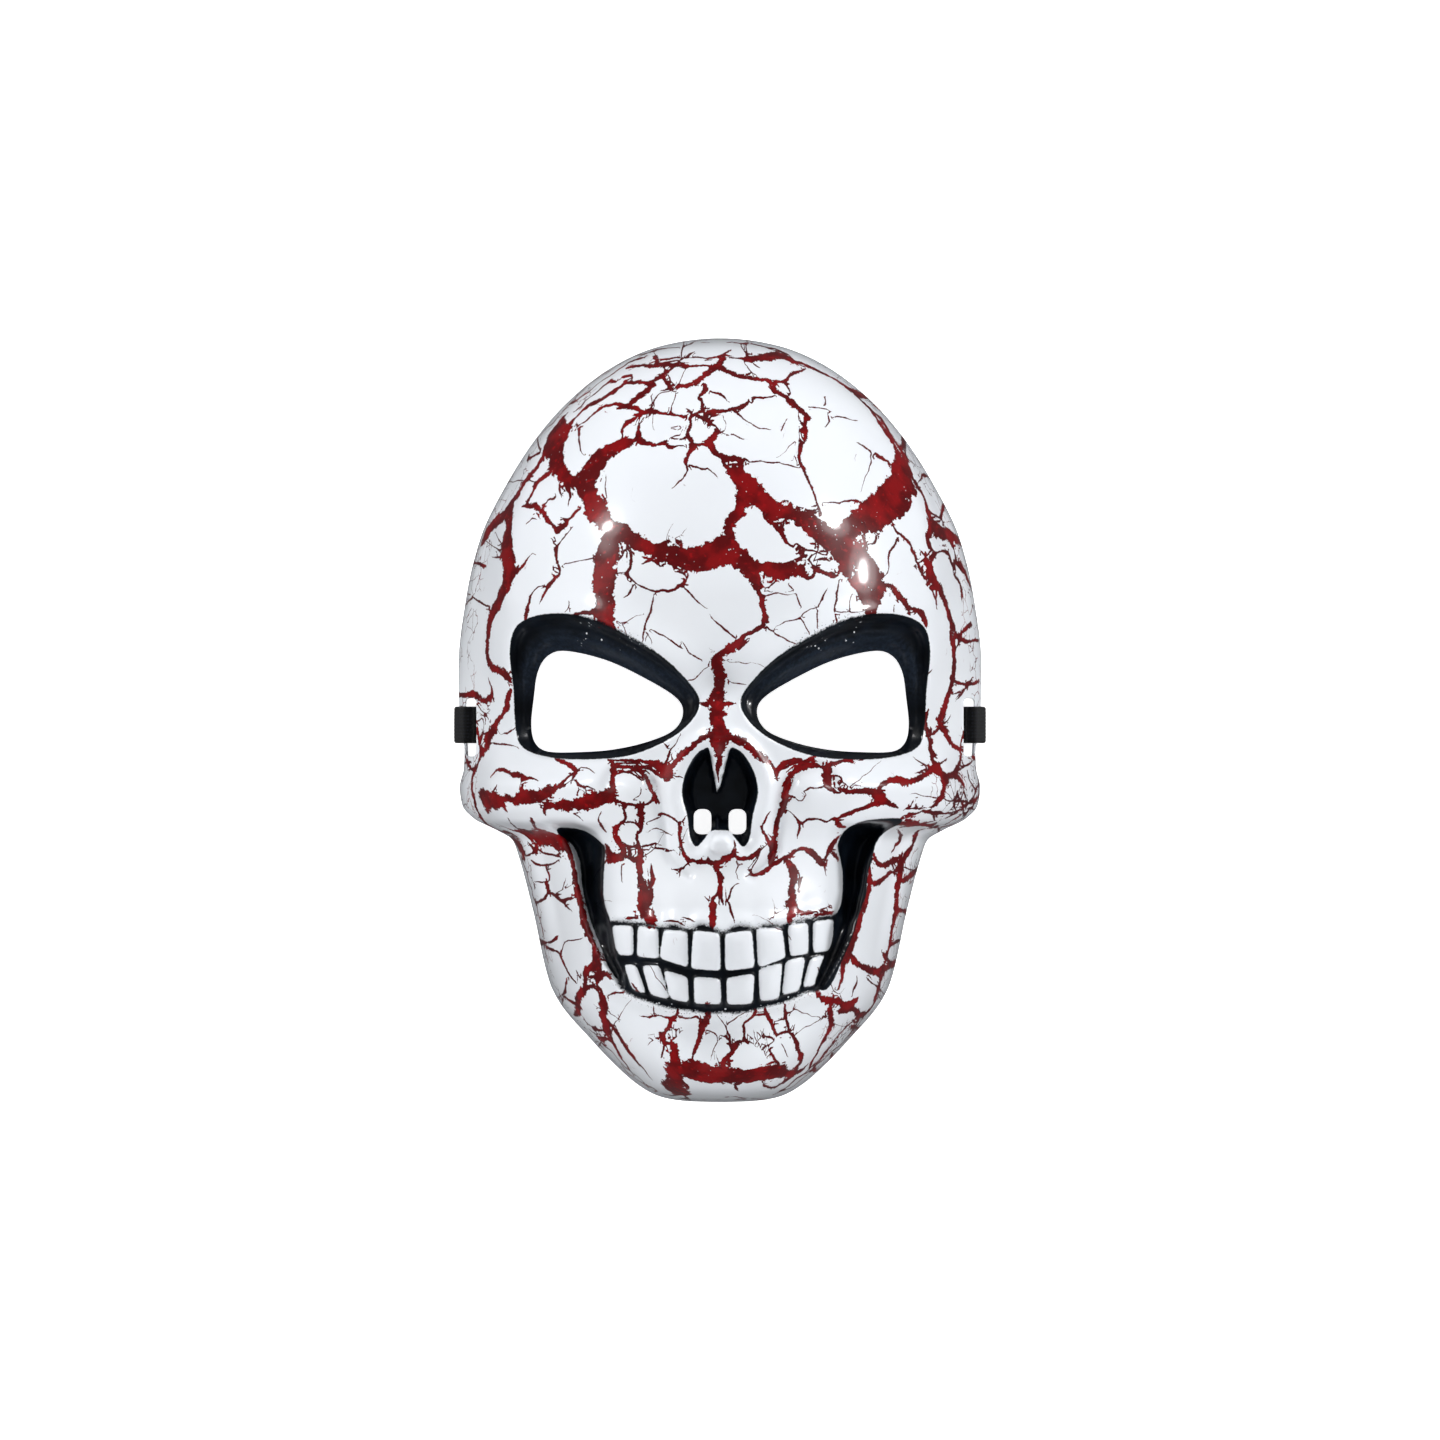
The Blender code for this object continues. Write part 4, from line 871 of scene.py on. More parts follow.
    ((-54.5, 58.8, 0.4), (-53.8, 57, 0.4), (-54, 55.5, 0.3)),
    ((-48, 62.5, 0.3), (-50, 60, 0.4), (-51, 58.8, 0.5), (-52, 57.5, 0.4), (-53, 56, 1), (-53.2, 54, 1.1),
    (-53, 51.8, 1), (-52.4, 50, 0.9), (-51.7, 48.7, 0.8), (-52, 47, 0.9), (-53.5, 46.3, 1.4),
    (-54.5, 44.8, 1.7), (-56, 43.2, 1.3), (-57, 41, 1), (-58.5, 38, 0.3)),
    ((-54, 49.8, 0.6), (-54.2, 47.5, 0.9), (-53.6, 46.3, 1)),
    ((-77.6, 58.3, 2.2), (-76.5, 61, 2.8), (-75, 63, 2.4), (-73, 65, 2.8), (-71, 66.3, 2.4),
    (-69.3, 68, 2.6)),
    ((-68.4, 68.5, 2.4), (-68.6, 65, 2.4), (-69, 62, 2.6), (-69.3, 58, 3.4), (-69.5, 55, 4.2),
    (-68.8, 52, 3.8), (-69, 49, 3.2), (-69, 46.5, 3.2), (-69.5, 44.5, 3.4), (-70.5, 42, 2.6),
    (-71.5, 40, 2.4), (-72.5, 37.5, 2.5), (-74, 35, 2.3), (-75.2, 31.2, 2.1), (-75.8, 24.2, 1.6),
    (-74.6, 17.3, 1.4), (-70.5, 15.5, 2.3), (-68.8, 13.8, 2.3)),
    ((-68, 46.3, 1.7), (-66, 48, 1.1), (-64.3, 49.8, 1), (-63, 51.5, 0.7), (-62.3, 52.7, 0.4),
    (-61.3, 54.5, 0.3), (-60.2, 53.6, 0.3)),
    ((-57.5, 43.5, 0.3), (-59.5, 43, 0.4), (-61, 41.3, 0.5), (-61.8, 38.5, 1), (-62.5, 36, 1.4),
    (-63, 34, 1.6)),
    ((-50.5, 50.7, 0.35), (-47, 51.3, 0.4), (-44, 51.8, 0.4), (-41, 52.5, 0.5)),
    ((-48.8, 38, 0.35), (-49, 36.5, 0.35), (-50, 35.2, 0.3)),
    ((-81, 50.5, 0.6), (-81.8, 48, 0.7)),
    ((-62.5, 86.5, 0.6), (-62.7, 84.5, 0.6)),
    ((-67.5, 80.5, 0.4), (-68.8, 78, 0.4), (-71, 74.5, 0.4), (-73, 71.5, 0.4)),
    # Crown
    ((-60, 91.5, 0.4), (-56.5, 95.5, 0.5), (-53, 99, 0.6), (-50.5, 101.8, 0.7), (-48, 103.8, 0.9),
    (-46, 105, 0.8), (-43, 107, 0.6), (-40, 109.7, 0.6), (-36, 112.3, 0.6), (-33, 114.6, 0.6),
    (-30, 116.8, 0.7), (-26.5, 118, 1.4), (-24.5, 118.6, 0.6)),
    ((-47, 101, 0.6), (-44, 104, 0.5), (-41, 106.2, 0.5), (-38, 109, 0.6), (-36, 110.6, 0.9),
    (-34.2, 110.2, 0.9)),
    ((-31.2, 112, 0.9), (-29, 112.4, 0.9), (-28.6, 111, 0.6)),
    ((-49.5, 103, 0.5), (-45, 107.5, 0.5), (-41, 110.9, 0.5), (-36, 114.2, 0.6), (-30.5, 117.6, 0.5),
    (-25, 119.6, 0.6)),
    ((-31, 109.8, 1), (-28, 109.8, 1), (-25, 109.8, 0.9), (-22, 110, 1), (-20, 111, 1.1), (-18.8, 112, 1.5),
    (-18, 110.5, 1.3), (-16.8, 109, 1.5), (-15.5, 107.7, 0.9)),
    ((-19, 112, 0.9), (-17, 113.5, 0.9), (-15, 115, 0.6), (-13, 117, 0.4), (-11.5, 118, 0.5),
    (-9, 119.8, 0.6)),
    ((-30, 115, 0.9), (-27, 115.5, 0.9), (-25, 115.8, 1), (-22, 115.3, 1.3), (-19, 115.6, 0.9),
    (-15, 115.8, 1.3), (-12, 115.5, 1), (-8, 115.2, 0.9), (-5, 115.5, 0.8), (-2, 115, 1)),
    ((-21.5, 118.3, 1), (-20.5, 117, 1.6), (-20.5, 115.5, 1)),
    ((-19, 117.5, 0.7), (-15, 118, 0.8), (-12, 118, 0.5), (-9, 118.2, 0.6), (-6, 118, 0.4), (-2, 118, 0.7),
    (0, 118.5, 0.7), (3.2, 120.5, 0.4)),
    ((-24, 119.9, 0.6), (-20.5, 121, 1.2), (-16, 121.5, 0.4), (-9, 123, 0.6), (-4, 123.2, 0.5),
    (2, 123.1, 0.5), (6, 123.1, 0.6), (9, 123.2, 0.9), (12, 122.5, 0.8), (16, 121.5, 0.8), (20, 120.4, 1),
    (22, 119.3, 1)),
    ((-10, 122.9, 0.4), (-5, 124.1, 0.4), (0, 124.4, 0.4), (8, 124.1, 0.8), (11, 123.7, 0.5)),
    ((3, 118.1, 0.5), (5, 117.8, 0.5), (8, 117.5, 1.2), (10, 117.8, 1.8), (13, 118, 2.4), (16, 118.5, 2.3),
    (18, 118.8, 2.7), (20, 119, 3), (22, 118, 2.4), (23.5, 117, 2), (27, 116.5, 1.4), (30, 115, 1.2),
    (32, 114, 1.2), (35, 112.5, 1.2), (38, 111, 1.2), (41, 109, 1.7), (44, 107, 2.2), (47, 106, 2),
    (49.3, 105.6, 1)),
    ((8, 116, 0.3), (9.5, 114, 0.4), (11.5, 112.3, 0.3)),
    ((1.2, 118, 2), (0, 116, 2.2), (-1.2, 114.8, 2.8), (-3, 113.5, 2.6), (-5, 112, 1.6), (-7, 110.6, 1.8),
    (-8.3, 109.5, 2.4), (-10.5, 108.5, 1.4), (-13, 108.7, 1.2), (-15, 107.6, 0.7)),
    ((0, 114.5, 1.6), (2, 113.5, 1.4), (4, 112.8, 1.6), (6, 112, 1.8), (8, 111.3, 1.4), (10, 111.1, 1.2),
    (12, 110.8, 1.1), (14, 110.7, 1.2), (16, 110.3, 1.7), (17, 109.6, 2.2), (17.2, 108, 2.4), (18, 106.6, 2),
    (20, 105.8, 1.5), (22, 104.5, 2.1), (23, 103, 2.4), (24.5, 101.8, 1.9), (26, 100.8, 1.8), (27.5, 99.5, 2),
    (28.4, 98, 2.4), (27.6, 96.5, 2.3), (27.2, 95, 2.4), (27.8, 93, 2), (27.5, 91, 1.7), (26.5, 89.5, 1.3),
    (26, 87.5, 1.3), (25.5, 85, 1.2), (26, 83.5, 1.1), (27.2, 81, 1.1), (28.5, 78, 1), (29.8, 75.3, 0.9),
    (30.8, 72.5, 0.8), (31.5, 70, 0.8), (32.5, 67, 0.6)),
    ((17.5, 110, 1.4), (20, 110, 0.9), (21.5, 110.3, 1.4), (22.5, 111.8, 0.9), (24, 113, 1.3),
    (26, 113.6, 0.6), (27.7, 114.6, 0.5)),
    ((21, 110, 0.6), (22.3, 108, 0.5), (22.8, 106.6, 0.3)),
    ((18, 105.5, 0.4), (15.5, 104.8, 0.5), (13, 104.7, 0.8), (11, 104.8, 0.9), (9.8, 104.3, 0.7),
    (9, 103, 1.1), (7.5, 102, 1.4), (5.5, 101.2, 1.5), (3, 100.5, 1.4), (0, 100.2, 1.2), (-3, 99.7, 1.4),
    (-4.5, 99.8, 1.7), (-6, 100.3, 1.5), (-8, 99.3, 1.1), (-10, 98.6, 1.3), (-13, 98.8, 1), (-16, 99.2, 1.2),
    (-19, 99.6, 1.3), (-21, 100.3, 1.4), (-23, 100, 1.1), (-25, 99.5, 1.5), (-26.5, 100.8, 1.4),
    (-28.5, 101.5, 1.6), (-30.5, 101.8, 1.7), (-33, 101.4, 0.7)),
    ((11.3, 104.3, 0.5), (10.5, 103, 0.7), (9.6, 102.8, 0.5)),
    ((-4.5, 99.5, 1.7), (-4.5, 98, 1.4), (-3.5, 96.5, 1.3), (-2, 95.4, 0.9)),
    ((-1, 93.3, 0.7), (1.5, 92.8, 0.5), (2.5, 92, 0.4), (4, 92.7, 0.5), (6, 91.6, 0.5), (8.7, 90.9, 0.3)),
    ((5.5, 99.5, 0.6), (7.5, 97.8, 0.6), (9.5, 96.5, 0.5), (11, 95.5, 0.5), (13, 94.5, 0.4),
    (16.5, 94.1, 0.3)),
    ((1.5, 97.5, 0.3), (2, 95.3, 0.4)),
    ((-5, 109.3, 1.2), (-4.5, 108, 1.7), (-5.5, 106, 1.3), (-7, 105, 1.1), (-6, 103.5, 1.2),
    (-5.5, 101.5, 1.3), (-6, 100.3, 1.3)),
    ((-4.5, 107, 0.9), (-2, 106.3, 0.7), (0, 106, 0.8), (1.3, 105, 0.6), (2.3, 103.6, 0.3)),
    ((-29.5, 102.2, 1.9), (-28, 104, 2), (-26, 105.5, 2.1), (-24, 107, 2.1), (-22, 108.8, 1.9)),
    ((-25.5, 99.5, 1.4), (-27, 98.5, 1.3), (-29, 97.2, 1.4), (-31, 95.8, 1.3), (-32, 94, 0.9),
    (-31.6, 91.5, 0.6), (-32, 90.3, 0.5)),
    ((-26.2, 96.7, 0.7), (-26.5, 94, 1.2), (-26.2, 92, 2.1), (-26, 90.5, 2.4)),
    ((-17, 91, 0.3), (-15, 92, 0.5), (-12.5, 92.3, 0.7), (-11, 91.8, 0.9)),
    ((-10, 98.3, 1.2), (-9.3, 96, 1.1), (-9.5, 95, 0.9), (-10.5, 93.5, 0.9), (-10, 91.5, 1.3), (-9, 90, 1.9),
    (-8.8, 88, 1.8), (-10, 86.5, 1.4), (-11, 84.5, 1.4), (-11, 82.5, 1.1), (-10.5, 81, 0.7), (-11.5, 79, 0.8),
    (-12, 78, 0.6), (-13.5, 77, 0.5), (-15.2, 75.2, 0.3)),
    ((-9, 89.3, 1.4), (-7, 89.2, 1.3), (-5, 89.5, 1.3), (-3.5, 89.8, 1.6)),
    ((-15.5, 94.8, 0.3), (-13, 95.5, 0.3), (-12, 93.8, 0.3)),
    ((-22.5, 101.5, 0.3), (-21, 104.5, 0.4), (-19, 106.5, 0.3), (-15, 107.3, 0.4)),
    ((29, 101.7, 0.4), (32, 101.5, 0.4), (35, 101, 0.35), (37, 100, 0.3)),
    ((34, 105.2, 0.4), (34.2, 102.5, 0.4)),
    ((21.5, 97.5, 0.4), (20.5, 95.5, 0.6), (20, 93.8, 0.3)),
    ((35, 99.5, 0.3), (35.6, 97, 0.6), (34.4, 95.3, 0.4)),
    ((36.5, 98.3, 0.3), (38, 98.7, 0.5), (41, 98.3, 0.4), (44.5, 97.4, 0.3)),
    ((45, 90, 0.4), (48, 88, 0.6), (51, 86.5, 0.7), (54, 84.5, 0.7), (56.3, 82.2, 0.7)),
    ((33.3, 70.5, 0.3), (36.5, 70.6, 0.5), (38.5, 70.2, 0.6), (40.5, 71, 0.6), (43, 71.3, 0.7),
    (45.8, 70.3, 0.9)),
    # Right temple
    ((42, 108, 0.8), (45, 105.5, 1), (48, 102.5, 1.1), (50, 100.3, 1.3), (51.5, 98, 1.3), (53, 95.5, 1.7),
    (54.5, 93.5, 1.9), (55.7, 91.3, 1.2)),
    ((51.3, 99.7, 0.9), (53.5, 97, 1.3), (55.5, 93.5, 1.5), (57.5, 90.5, 1.6), (59, 88, 1.6),
    (60.5, 85.5, 1.5), (61.5, 82, 1.7), (62.5, 79, 1.5), (64, 76.5, 1.5), (65.5, 74.5, 1.5),
    (66.5, 72.5, 1.3), (67.3, 70.5, 1.3), (67.5, 68, 1.5), (68, 66, 1.5), (69, 63.6, 2.6), (71.3, 61.9, 3),
    (73.5, 60.9, 2.4), (76, 59.9, 2.1), (78, 59, 1.5), (79.2, 57, 0.6)),
    ((50.5, 102.7, 1.2), (52.5, 101.8, 1.1), (54, 101, 1), (55.5, 100.2, 0.5)),
    ((55, 98.5, 0.4), (57.5, 96, 0.4), (60, 94, 0.6)),
    ((60.5, 92, 0.3), (63, 89.5, 0.3)),
    ((64.5, 77.5, 0.3), (65.5, 78.5, 0.4), (66, 79.8, 0.8), (67.7, 79.9, 0.8), (68.3, 79.2, 0.4)),
    ((68.5, 67.8, 0.6), (71, 66.4, 0.6), (73.2, 63.8, 0.6)),
    ((71.8, 66, 0.6), (72.5, 68, 0.8), (73, 70, 1), (74, 70.3, 0.6)),
    ((68, 62.5, 1.1), (67.3, 60, 1.1), (67.5, 58, 1.1), (68.5, 56, 1), (69.7, 54.6, 0.9), (69.7, 53.2, 0.9),
    (68.6, 51.8, 1.2)),
    ((65.3, 55, 0.5), (66.5, 53.7, 0.9), (67.1, 52.4, 1.1), (67.8, 51, 2.4), (68.3, 49, 2.7), (69, 46.5, 2.5),
    (70, 44.5, 2.3), (71.5, 43, 2.1), (72.3, 41, 1.9), (73.2, 39, 1.9), (74, 37, 1.8), (74.7, 35, 1.6),
    (75.4, 31.5, 1.4), (76.4, 27.7, 1.4), (81, 25.4, 1.3), (84.5, 26, 1.2)),
    ((70, 54, 0.9), (71.5, 54.8, 0.8), (73, 55.2, 1), (74.3, 54.5, 1), (75.2, 53, 0.8), (75.5, 51.5, 0.7),
    (76.5, 50, 1.1), (76.2, 48.8, 0.6)),
    ((75.3, 57.7, 0.8), (76.3, 56, 0.8), (76.8, 54, 0.6), (76.8, 51.5, 0.9), (78.5, 50.5, 1.9),
    (79.5, 49, 1.7), (80.5, 47, 1.3), (81.2, 45.5, 1.1), (82.2, 42.5, 0.5)),
    ((56.3, 63, 0.5), (57.5, 61, 0.8), (59, 60, 1.1), (60.8, 58.3, 1), (62, 57, 0.9), (62.7, 54.5, 1),
    (64, 51.5, 0.9), (65, 49, 0.9), (66, 47, 0.9), (67.5, 45.5, 0.9), (69, 45, 1.1)),
    ((57.8, 59.3, 0.6), (56.8, 57, 0.8), (55.2, 55, 0.9), (54.5, 52.5, 0.8), (54.8, 50, 0.5), (54.5, 48, 0.4),
    (53.5, 46.7, 0.3)),
    ((66.5, 45, 0.6), (68, 43, 0.7), (69.5, 41.5, 0.6), (70.3, 39, 0.5), (70.5, 36.8, 0.3)),
    ((46, 60.2, 0.9), (46.8, 58, 1), (47.7, 55.8, 0.6)),
    ((50.8, 59.6, 0.8), (50.3, 57.5, 0.8), (48.5, 57, 0.9)),
    ((53.3, 43.9, 1), (55.5, 43.5, 1.7), (56.5, 42, 2.1), (58, 40.5, 2.3), (59.5, 39, 2.1), (60.5, 37.3, 1.8),
    (61.2, 36, 1.6), (63, 36, 1.3), (64.5, 35.2, 1.5), (66, 34, 1.7), (67, 31.5, 1.5)),
    ((60.8, 37, 1.3), (60.8, 35, 1.3), (61.8, 34.3, 1)),
    ((56.5, 37, 0.4), (56.3, 35.3, 0.4)),
    ((75.2, 27.7, 1.6), (76.4, 20.8, 1.6), (75.8, 13.8, 1.6), (74, 6.8, 1.6), (72.3, -0.2, 1.6)),
    ((76.4, 12.6, 1.2), (81, 11.5, 1.2), (84.5, 12.6, 1.2)),
    ((71, 0, 1.6), (72.5, -3, 1.6), (74, -5.5, 1.5), (75.5, -8, 1.2), (77.5, -9.3, 1.2), (79, -9.8, 0.9),
    (81, -11, 1.1), (82.5, -11.5, 1.2), (83.4, -12.6, 0.6)),
    ((78.4, -9, 0.6), (79, -6, 0.6), (79.4, -3.5, 0.5)),
    # Left cheekbone
    ((-85.6, 8.2, 2.1), (-80.4, 8.8, 2.3), (-76.3, 5.9, 2.1), (-74, 8.2, 0.9)),
    ((-68.2, 9.3, 1.4), (-69.3, 4, 1.6), (-70.5, 2.5, 1.3), (-72.3, 0, 2), (-74, -3, 2.1), (-75.6, -6.5, 2.2),
    (-77, -10, 1.7), (-78.5, -13, 1.3), (-79.5, -15.5, 1.2), (-80.8, -18, 1.1), (-81, -21, 1.1),
    (-80.9, -24, 1.1), (-80, -27, 1.2), (-79, -30, 1.1), (-78, -32.5, 1.1), (-75.5, -34.7, 1.1),
    (-72.5, -36, 1.1), (-69, -36.7, 1.2), (-67.3, -37.6, 1.3)),
    ((-84.6, -5.5, 0.5), (-84, -9, 0.6), (-83, -13, 0.6), (-82.4, -16, 0.5)),
    ((-79.8, 1, 0.8), (-79, -4, 0.9), (-78.4, -8, 0.9), (-77.8, -11, 1)),
    ((-82.5, -14, 0.7), (-81, -16.3, 0.8), (-79.4, -15.3, 0.8)),
    ((-71, -4, 0.4), (-69.5, -4.6, 0.4), (-68, -3.5, 0.7), (-66.8, -2.8, 0.5)),
    ((-74, -17.8, 0.7), (-73, -16.5, 0.7), (-71, -16, 1), (-69.5, -16.5, 1.3), (-68, -17.5, 1.6),
    (-66, -17.8, 1.6), (-64.5, -18, 1.7), (-63, -19, 1.2), (-61, -18.8, 0.6), (-59, -19.6, 0.3)),
    ((-64.3, -18.5, 0.9), (-64.2, -20.5, 0.8), (-64.3, -23, 1)),
    ((-78.3, -24.2, 1.2), (-76.8, -25.8, 4.4), (-74, -26.3, 5), (-71.5, -26.3, 4), (-69, -25.2, 2.2),
    (-66.5, -26.6, 2.6), (-64, -25, 5), (-61, -25.3, 4.2), (-58, -24.2, 4.4), (-55.5, -23, 4),
    (-53.5, -22.3, 2.4), (-51.5, -20.8, 1.8), (-50, -19, 1), (-48.3, -17.7, 0.6)),
    ((-76.5, -28, 1.8), (-75.8, -30.2, 0.8)),
    ((-70.6, -27.8, 1.2), (-69.8, -29.2, 0.8)),
    ((-57, -30.3, 0.8), (-56.9, -28.5, 1.4), (-55.5, -27.7, 1.8), (-53.5, -27.9, 2.8), (-51, -27.7, 3.5),
    (-49, -27.6, 4), (-46, -27.5, 4.4), (-43, -26.8, 4.3), (-40, -25.9, 4.9), (-37.5, -25, 5),
    (-35.6, -24.7, 4.8), (-34.6, -22.5, 2.4), (-35, -20, 1.6), (-34.4, -17.5, 2.2), (-34, -15.5, 2.6),
    (-35, -13.6, 1.4)),
    ((-34, -15, 2.2), (-31, -15.3, 1.6), (-28.5, -15.5, 1.4), (-26.5, -16.5, 1.6), (-24.5, -18.1, 1.6),
    (-23, -20.5, 1.4), (-22, -23, 1.3), (-21.4, -25, 1.4), (-22.6, -26.6, 0.9), (-24.5, -27.5, 1.1),
    (-27, -27.8, 1.5), (-29, -27.2, 1.3), (-31, -27.3, 1.6), (-33.2, -26.2, 1.7)),
    ((-33.5, -17.4, 1), (-31.5, -16.7, 0.9), (-29, -17, 0.9), (-27, -18, 0.9), (-25.2, -19.6, 0.7)),
    ((-20.6, -22.3, 0.6), (-21.4, -24, 0.9), (-20, -26.2, 0.9)),
    ((-25.5, -22.5, 0.4), (-26, -24.5, 0.35), (-28, -25.5, 0.3)),
    ((-53, -12.8, 1.2), (-51.5, -13.3, 1.7), (-49.5, -14.3, 1.7), (-47.5, -15.3, 1.7), (-46.5, -16.5, 1.3),
    (-47.3, -18, 1.1), (-46.8, -19.5, 1.1), (-46, -21, 1), (-44.5, -21.5, 0.8), (-43, -21.3, 0.6),
    (-40.5, -22.5, 0.5)),
    ((-45.3, -21.5, 0.6), (-46.2, -23.6, 0.5)),
    ((-45.5, -15.3, 0.3), (-44, -15.5, 0.35), (-42.5, -15.7, 0.5), (-40.8, -17, 0.3)),
    ((-31.5, -27.5, 1), (-31, -29.5, 1), (-30.4, -31, 1), (-31, -32.5, 0.8), (-32.2, -33.5, 1.2),
    (-33.2, -34.8, 2.4), (-34, -36.4, 2.8), (-33.5, -38.3, 2.7), (-32.5, -40, 2.3), (-31.5, -41.5, 1.7),
    (-31.7, -43.2, 1.4)),
    ((-31, -33, 0.7), (-28.5, -33, 0.7), (-27, -33.5, 0.8), (-25.3, -35.5, 1)),
    ((-36.8, -41, 0.9), (-36.5, -42.5, 2), (-35.6, -44.3, 3.4), (-33, -44.4, 3.2), (-31, -43.6, 2.2),
    (-29.5, -44.5, 1.2), (-27.6, -45.6, 1.5)),
    ((-31.6, -39.5, 0.7), (-30, -40.8, 0.8), (-28, -41, 0.8), (-26.5, -41.5, 0.8), (-25, -41, 1),
    (-23, -40.5, 1.1), (-20.8, -39.7, 0.6)),
    ((-30, -41, 0.9), (-28.9, -43, 1), (-29, -44.5, 1)),
    ((-20.5, -41.5, 0.7), (-18, -41.8, 0.7), (-16.5, -42.5, 0.9), (-15, -41.8, 0.4)),
    ((-25.8, -28, 2.6), (-25.5, -30.5, 3), (-25.3, -33, 2.2), (-25.3, -35.5, 1.3), (-26.7, -36.6, 1.1),
    (-27, -38.5, 1), (-26, -41, 1.2), (-25.5, -43, 2.3), (-26, -46, 2.7), (-25.8, -49, 2.5),
    (-25.5, -52, 2.6), (-24.8, -54.5, 3.7), (-24, -57, 4.2), (-24.5, -60, 4.7), (-24, -62.5, 4.6),
    (-23, -64.5, 4.4), (-21.6, -66.3, 2)),
    ((-22.2, -47.3, 0.8), (-22, -50, 1.3), (-21.5, -51.5, 1.5), (-22.4, -53.5, 1.8)),
    ((-22, -55, 1.5), (-22.3, -58.3, 1.1)),
    ((-31.8, -46.5, 0.4), (-32, -49.5, 0.4), (-31.8, -52.3, 0.3)),
    ((-38.5, -30, 0.4), (-39.5, -32.5, 0.5), (-38.3, -34.5, 0.9), (-37.5, -35.6, 0.7)),
    ((-48, -30, 0.35), (-46, -31, 0.4), (-44.8, -32.3, 0.3)),
    # Left of the nose
    ((-36, -12.9, 1), (-32.5, -13.1, 1), (-28, -13.3, 1.3), (-25.5, -13.2, 1.6), (-22, -13.8, 2.2),
    (-19.6, -15, 3), (-17.6, -16.8, 4), (-16.8, -18.4, 2.4)),
    ((-29.5, -15.4, 0.8), (-27, -14.8, 0.9), (-24, -15.5, 1), (-21.5, -16.6, 1), (-19, -18.4, 1.2)),
    ((-16.2, -15.7, 2.4), (-14.5, -13.5, 2.1), (-13, -11.5, 2.8), (-11, -10, 2.7), (-9, -8.8, 1.9),
    (-7.5, -7, 1.7), (-6, -5.8, 2), (-4.5, -5, 2.4), (-2, -4.5, 3)),
    ((-17.6, -15.3, 1), (-16.8, -12.5, 1), (-16.2, -10.5, 0.8)),
    ((-17, -9, 0.6), (-18, -7.6, 0.5)),
    ((-16.4, -9.8, 0.3), (-14, -7.3, 0.3), (-13, -5, 0.3)),
    ((-15.4, -17.6, 0.4), (-14.3, -18.3, 0.5), (-12.3, -18.5, 0.4)),
    ((-20.3, -31.8, 0.5), (-19.8, -30.5, 0.9), (-18.5, -30, 0.9), (-16.5, -31, 0.7), (-14.5, -32.3, 0.9),
    (-13.2, -33.5, 1.1), (-12.8, -35, 1.5), (-13, -38, 1.5), (-12.8, -40, 1.4), (-12, -42.5, 1.4),
    (-11.3, -44, 1.4), (-10.2, -45.5, 1.7), (-7.5, -45.8, 1.5), (-5.5, -46, 1.5), (-4, -45.8, 1.5),
    (-2, -46.3, 1.8), (0, -46, 2.3), (2, -45, 2.4), (3.8, -43.8, 1.8), (4.8, -42, 1.2), (4.6, -39.8, 0.7)),
    ((-12.2, -32.8, 0.5), (-11.2, -31.5, 0.4)),
    ((-23, -36, 0.3), (-20.5, -35, 0.4), (-18, -36, 0.45), (-15.8, -37.1, 0.3)),
    ((-23.5, -33, 0.3), (-21, -32, 0.4), (-19.5, -31.5, 0.4)),
    ((-5.6, -44.3, 0.8), (-4, -44.4, 0.9), (-3.4, -45.6, 0.9)),
    ((-10.3, -46.3, 0.8), (-12, -48, 1), (-13.5, -48.5, 1), (-15.2, -48.2, 0.4)),
    ((-13, -48.6, 0.5), (-13, -50.2, 0.4)),
    ((-1.6, -47, 1.8), (-0.5, -49, 2.3), (0.3, -51, 2.4), (0.2, -53.5, 2.1), (0.5, -56, 1.4),
    (0.8, -58.8, 0.9)),
    ((-0.4, -55.3, 0.9), (-2.3, -57.5, 1), (-2.4, -58.7, 1.9), (-2.3, -61, 2.5), (-2.3, -63.5, 2.9),
    (-2.5, -66, 2.1), (-2.8, -67.6, 1.4)),
    ((-4.5, -57.5, 0.5), (-3, -58.6, 0.6)),
    ((-11.5, -63.8, 0.5), (-10, -64.2, 0.9), (-8.8, -64.8, 0.6)),
    ((-17.5, -65, 0.6), (-15, -65, 0.7), (-12.4, -66, 0.7)),
    ((-30, -64.2, 0.9), (-28.5, -64, 1.2), (-27, -64.1, 1.1)),
    # Right of the nose
    ((1.5, -3.6, 2.6), (3.2, -5, 3.4), (5, -6.2, 3.4), (7.5, -7.3, 3.5), (9, -8.4, 2.8), (10.5, -9.4, 2.5),
    (12, -10.7, 2.9), (13.5, -12, 2.9), (14.8, -13.1, 2.6), (16.2, -13.9, 1.3), (17.3, -15.3, 1),
    (18.2, -17.5, 1), (18.3, -19, 0.8)),
    ((18.3, -18.3, 1.2), (18.3, -16.6, 2), (19.6, -15, 2.2), (20.5, -14, 2.1), (22, -13.2, 1.7),
    (24, -12.8, 1.5), (26, -12.5, 1)),
    ((20.3, -15.8, 0.9), (22.5, -14.5, 1.1), (25, -13.6, 1), (28, -13.3, 1.3), (30.2, -12.4, 2.2)),
    ((20.8, -20.4, 1.6), (22.3, -18.7, 2.2), (23.5, -17.2, 2.7), (25.5, -15.9, 2.7), (28, -15.1, 2.1),
    (30.5, -14.6, 1.9), (32.5, -15, 2.1), (34.5, -15.6, 3.2), (34.5, -18, 3.4), (34.9, -20, 2.5),
    (35.5, -21.5, 2.4), (36.5, -22.9, 1.7), (38.2, -23.6, 0.8)),
    ((36, -15.5, 0.7), (36.2, -17, 0.7), (37, -18, 0.8), (39, -18.3, 0.7), (39.5, -20, 0.8), (41, -21, 0.6),
    (41.6, -21.9, 0.5)),
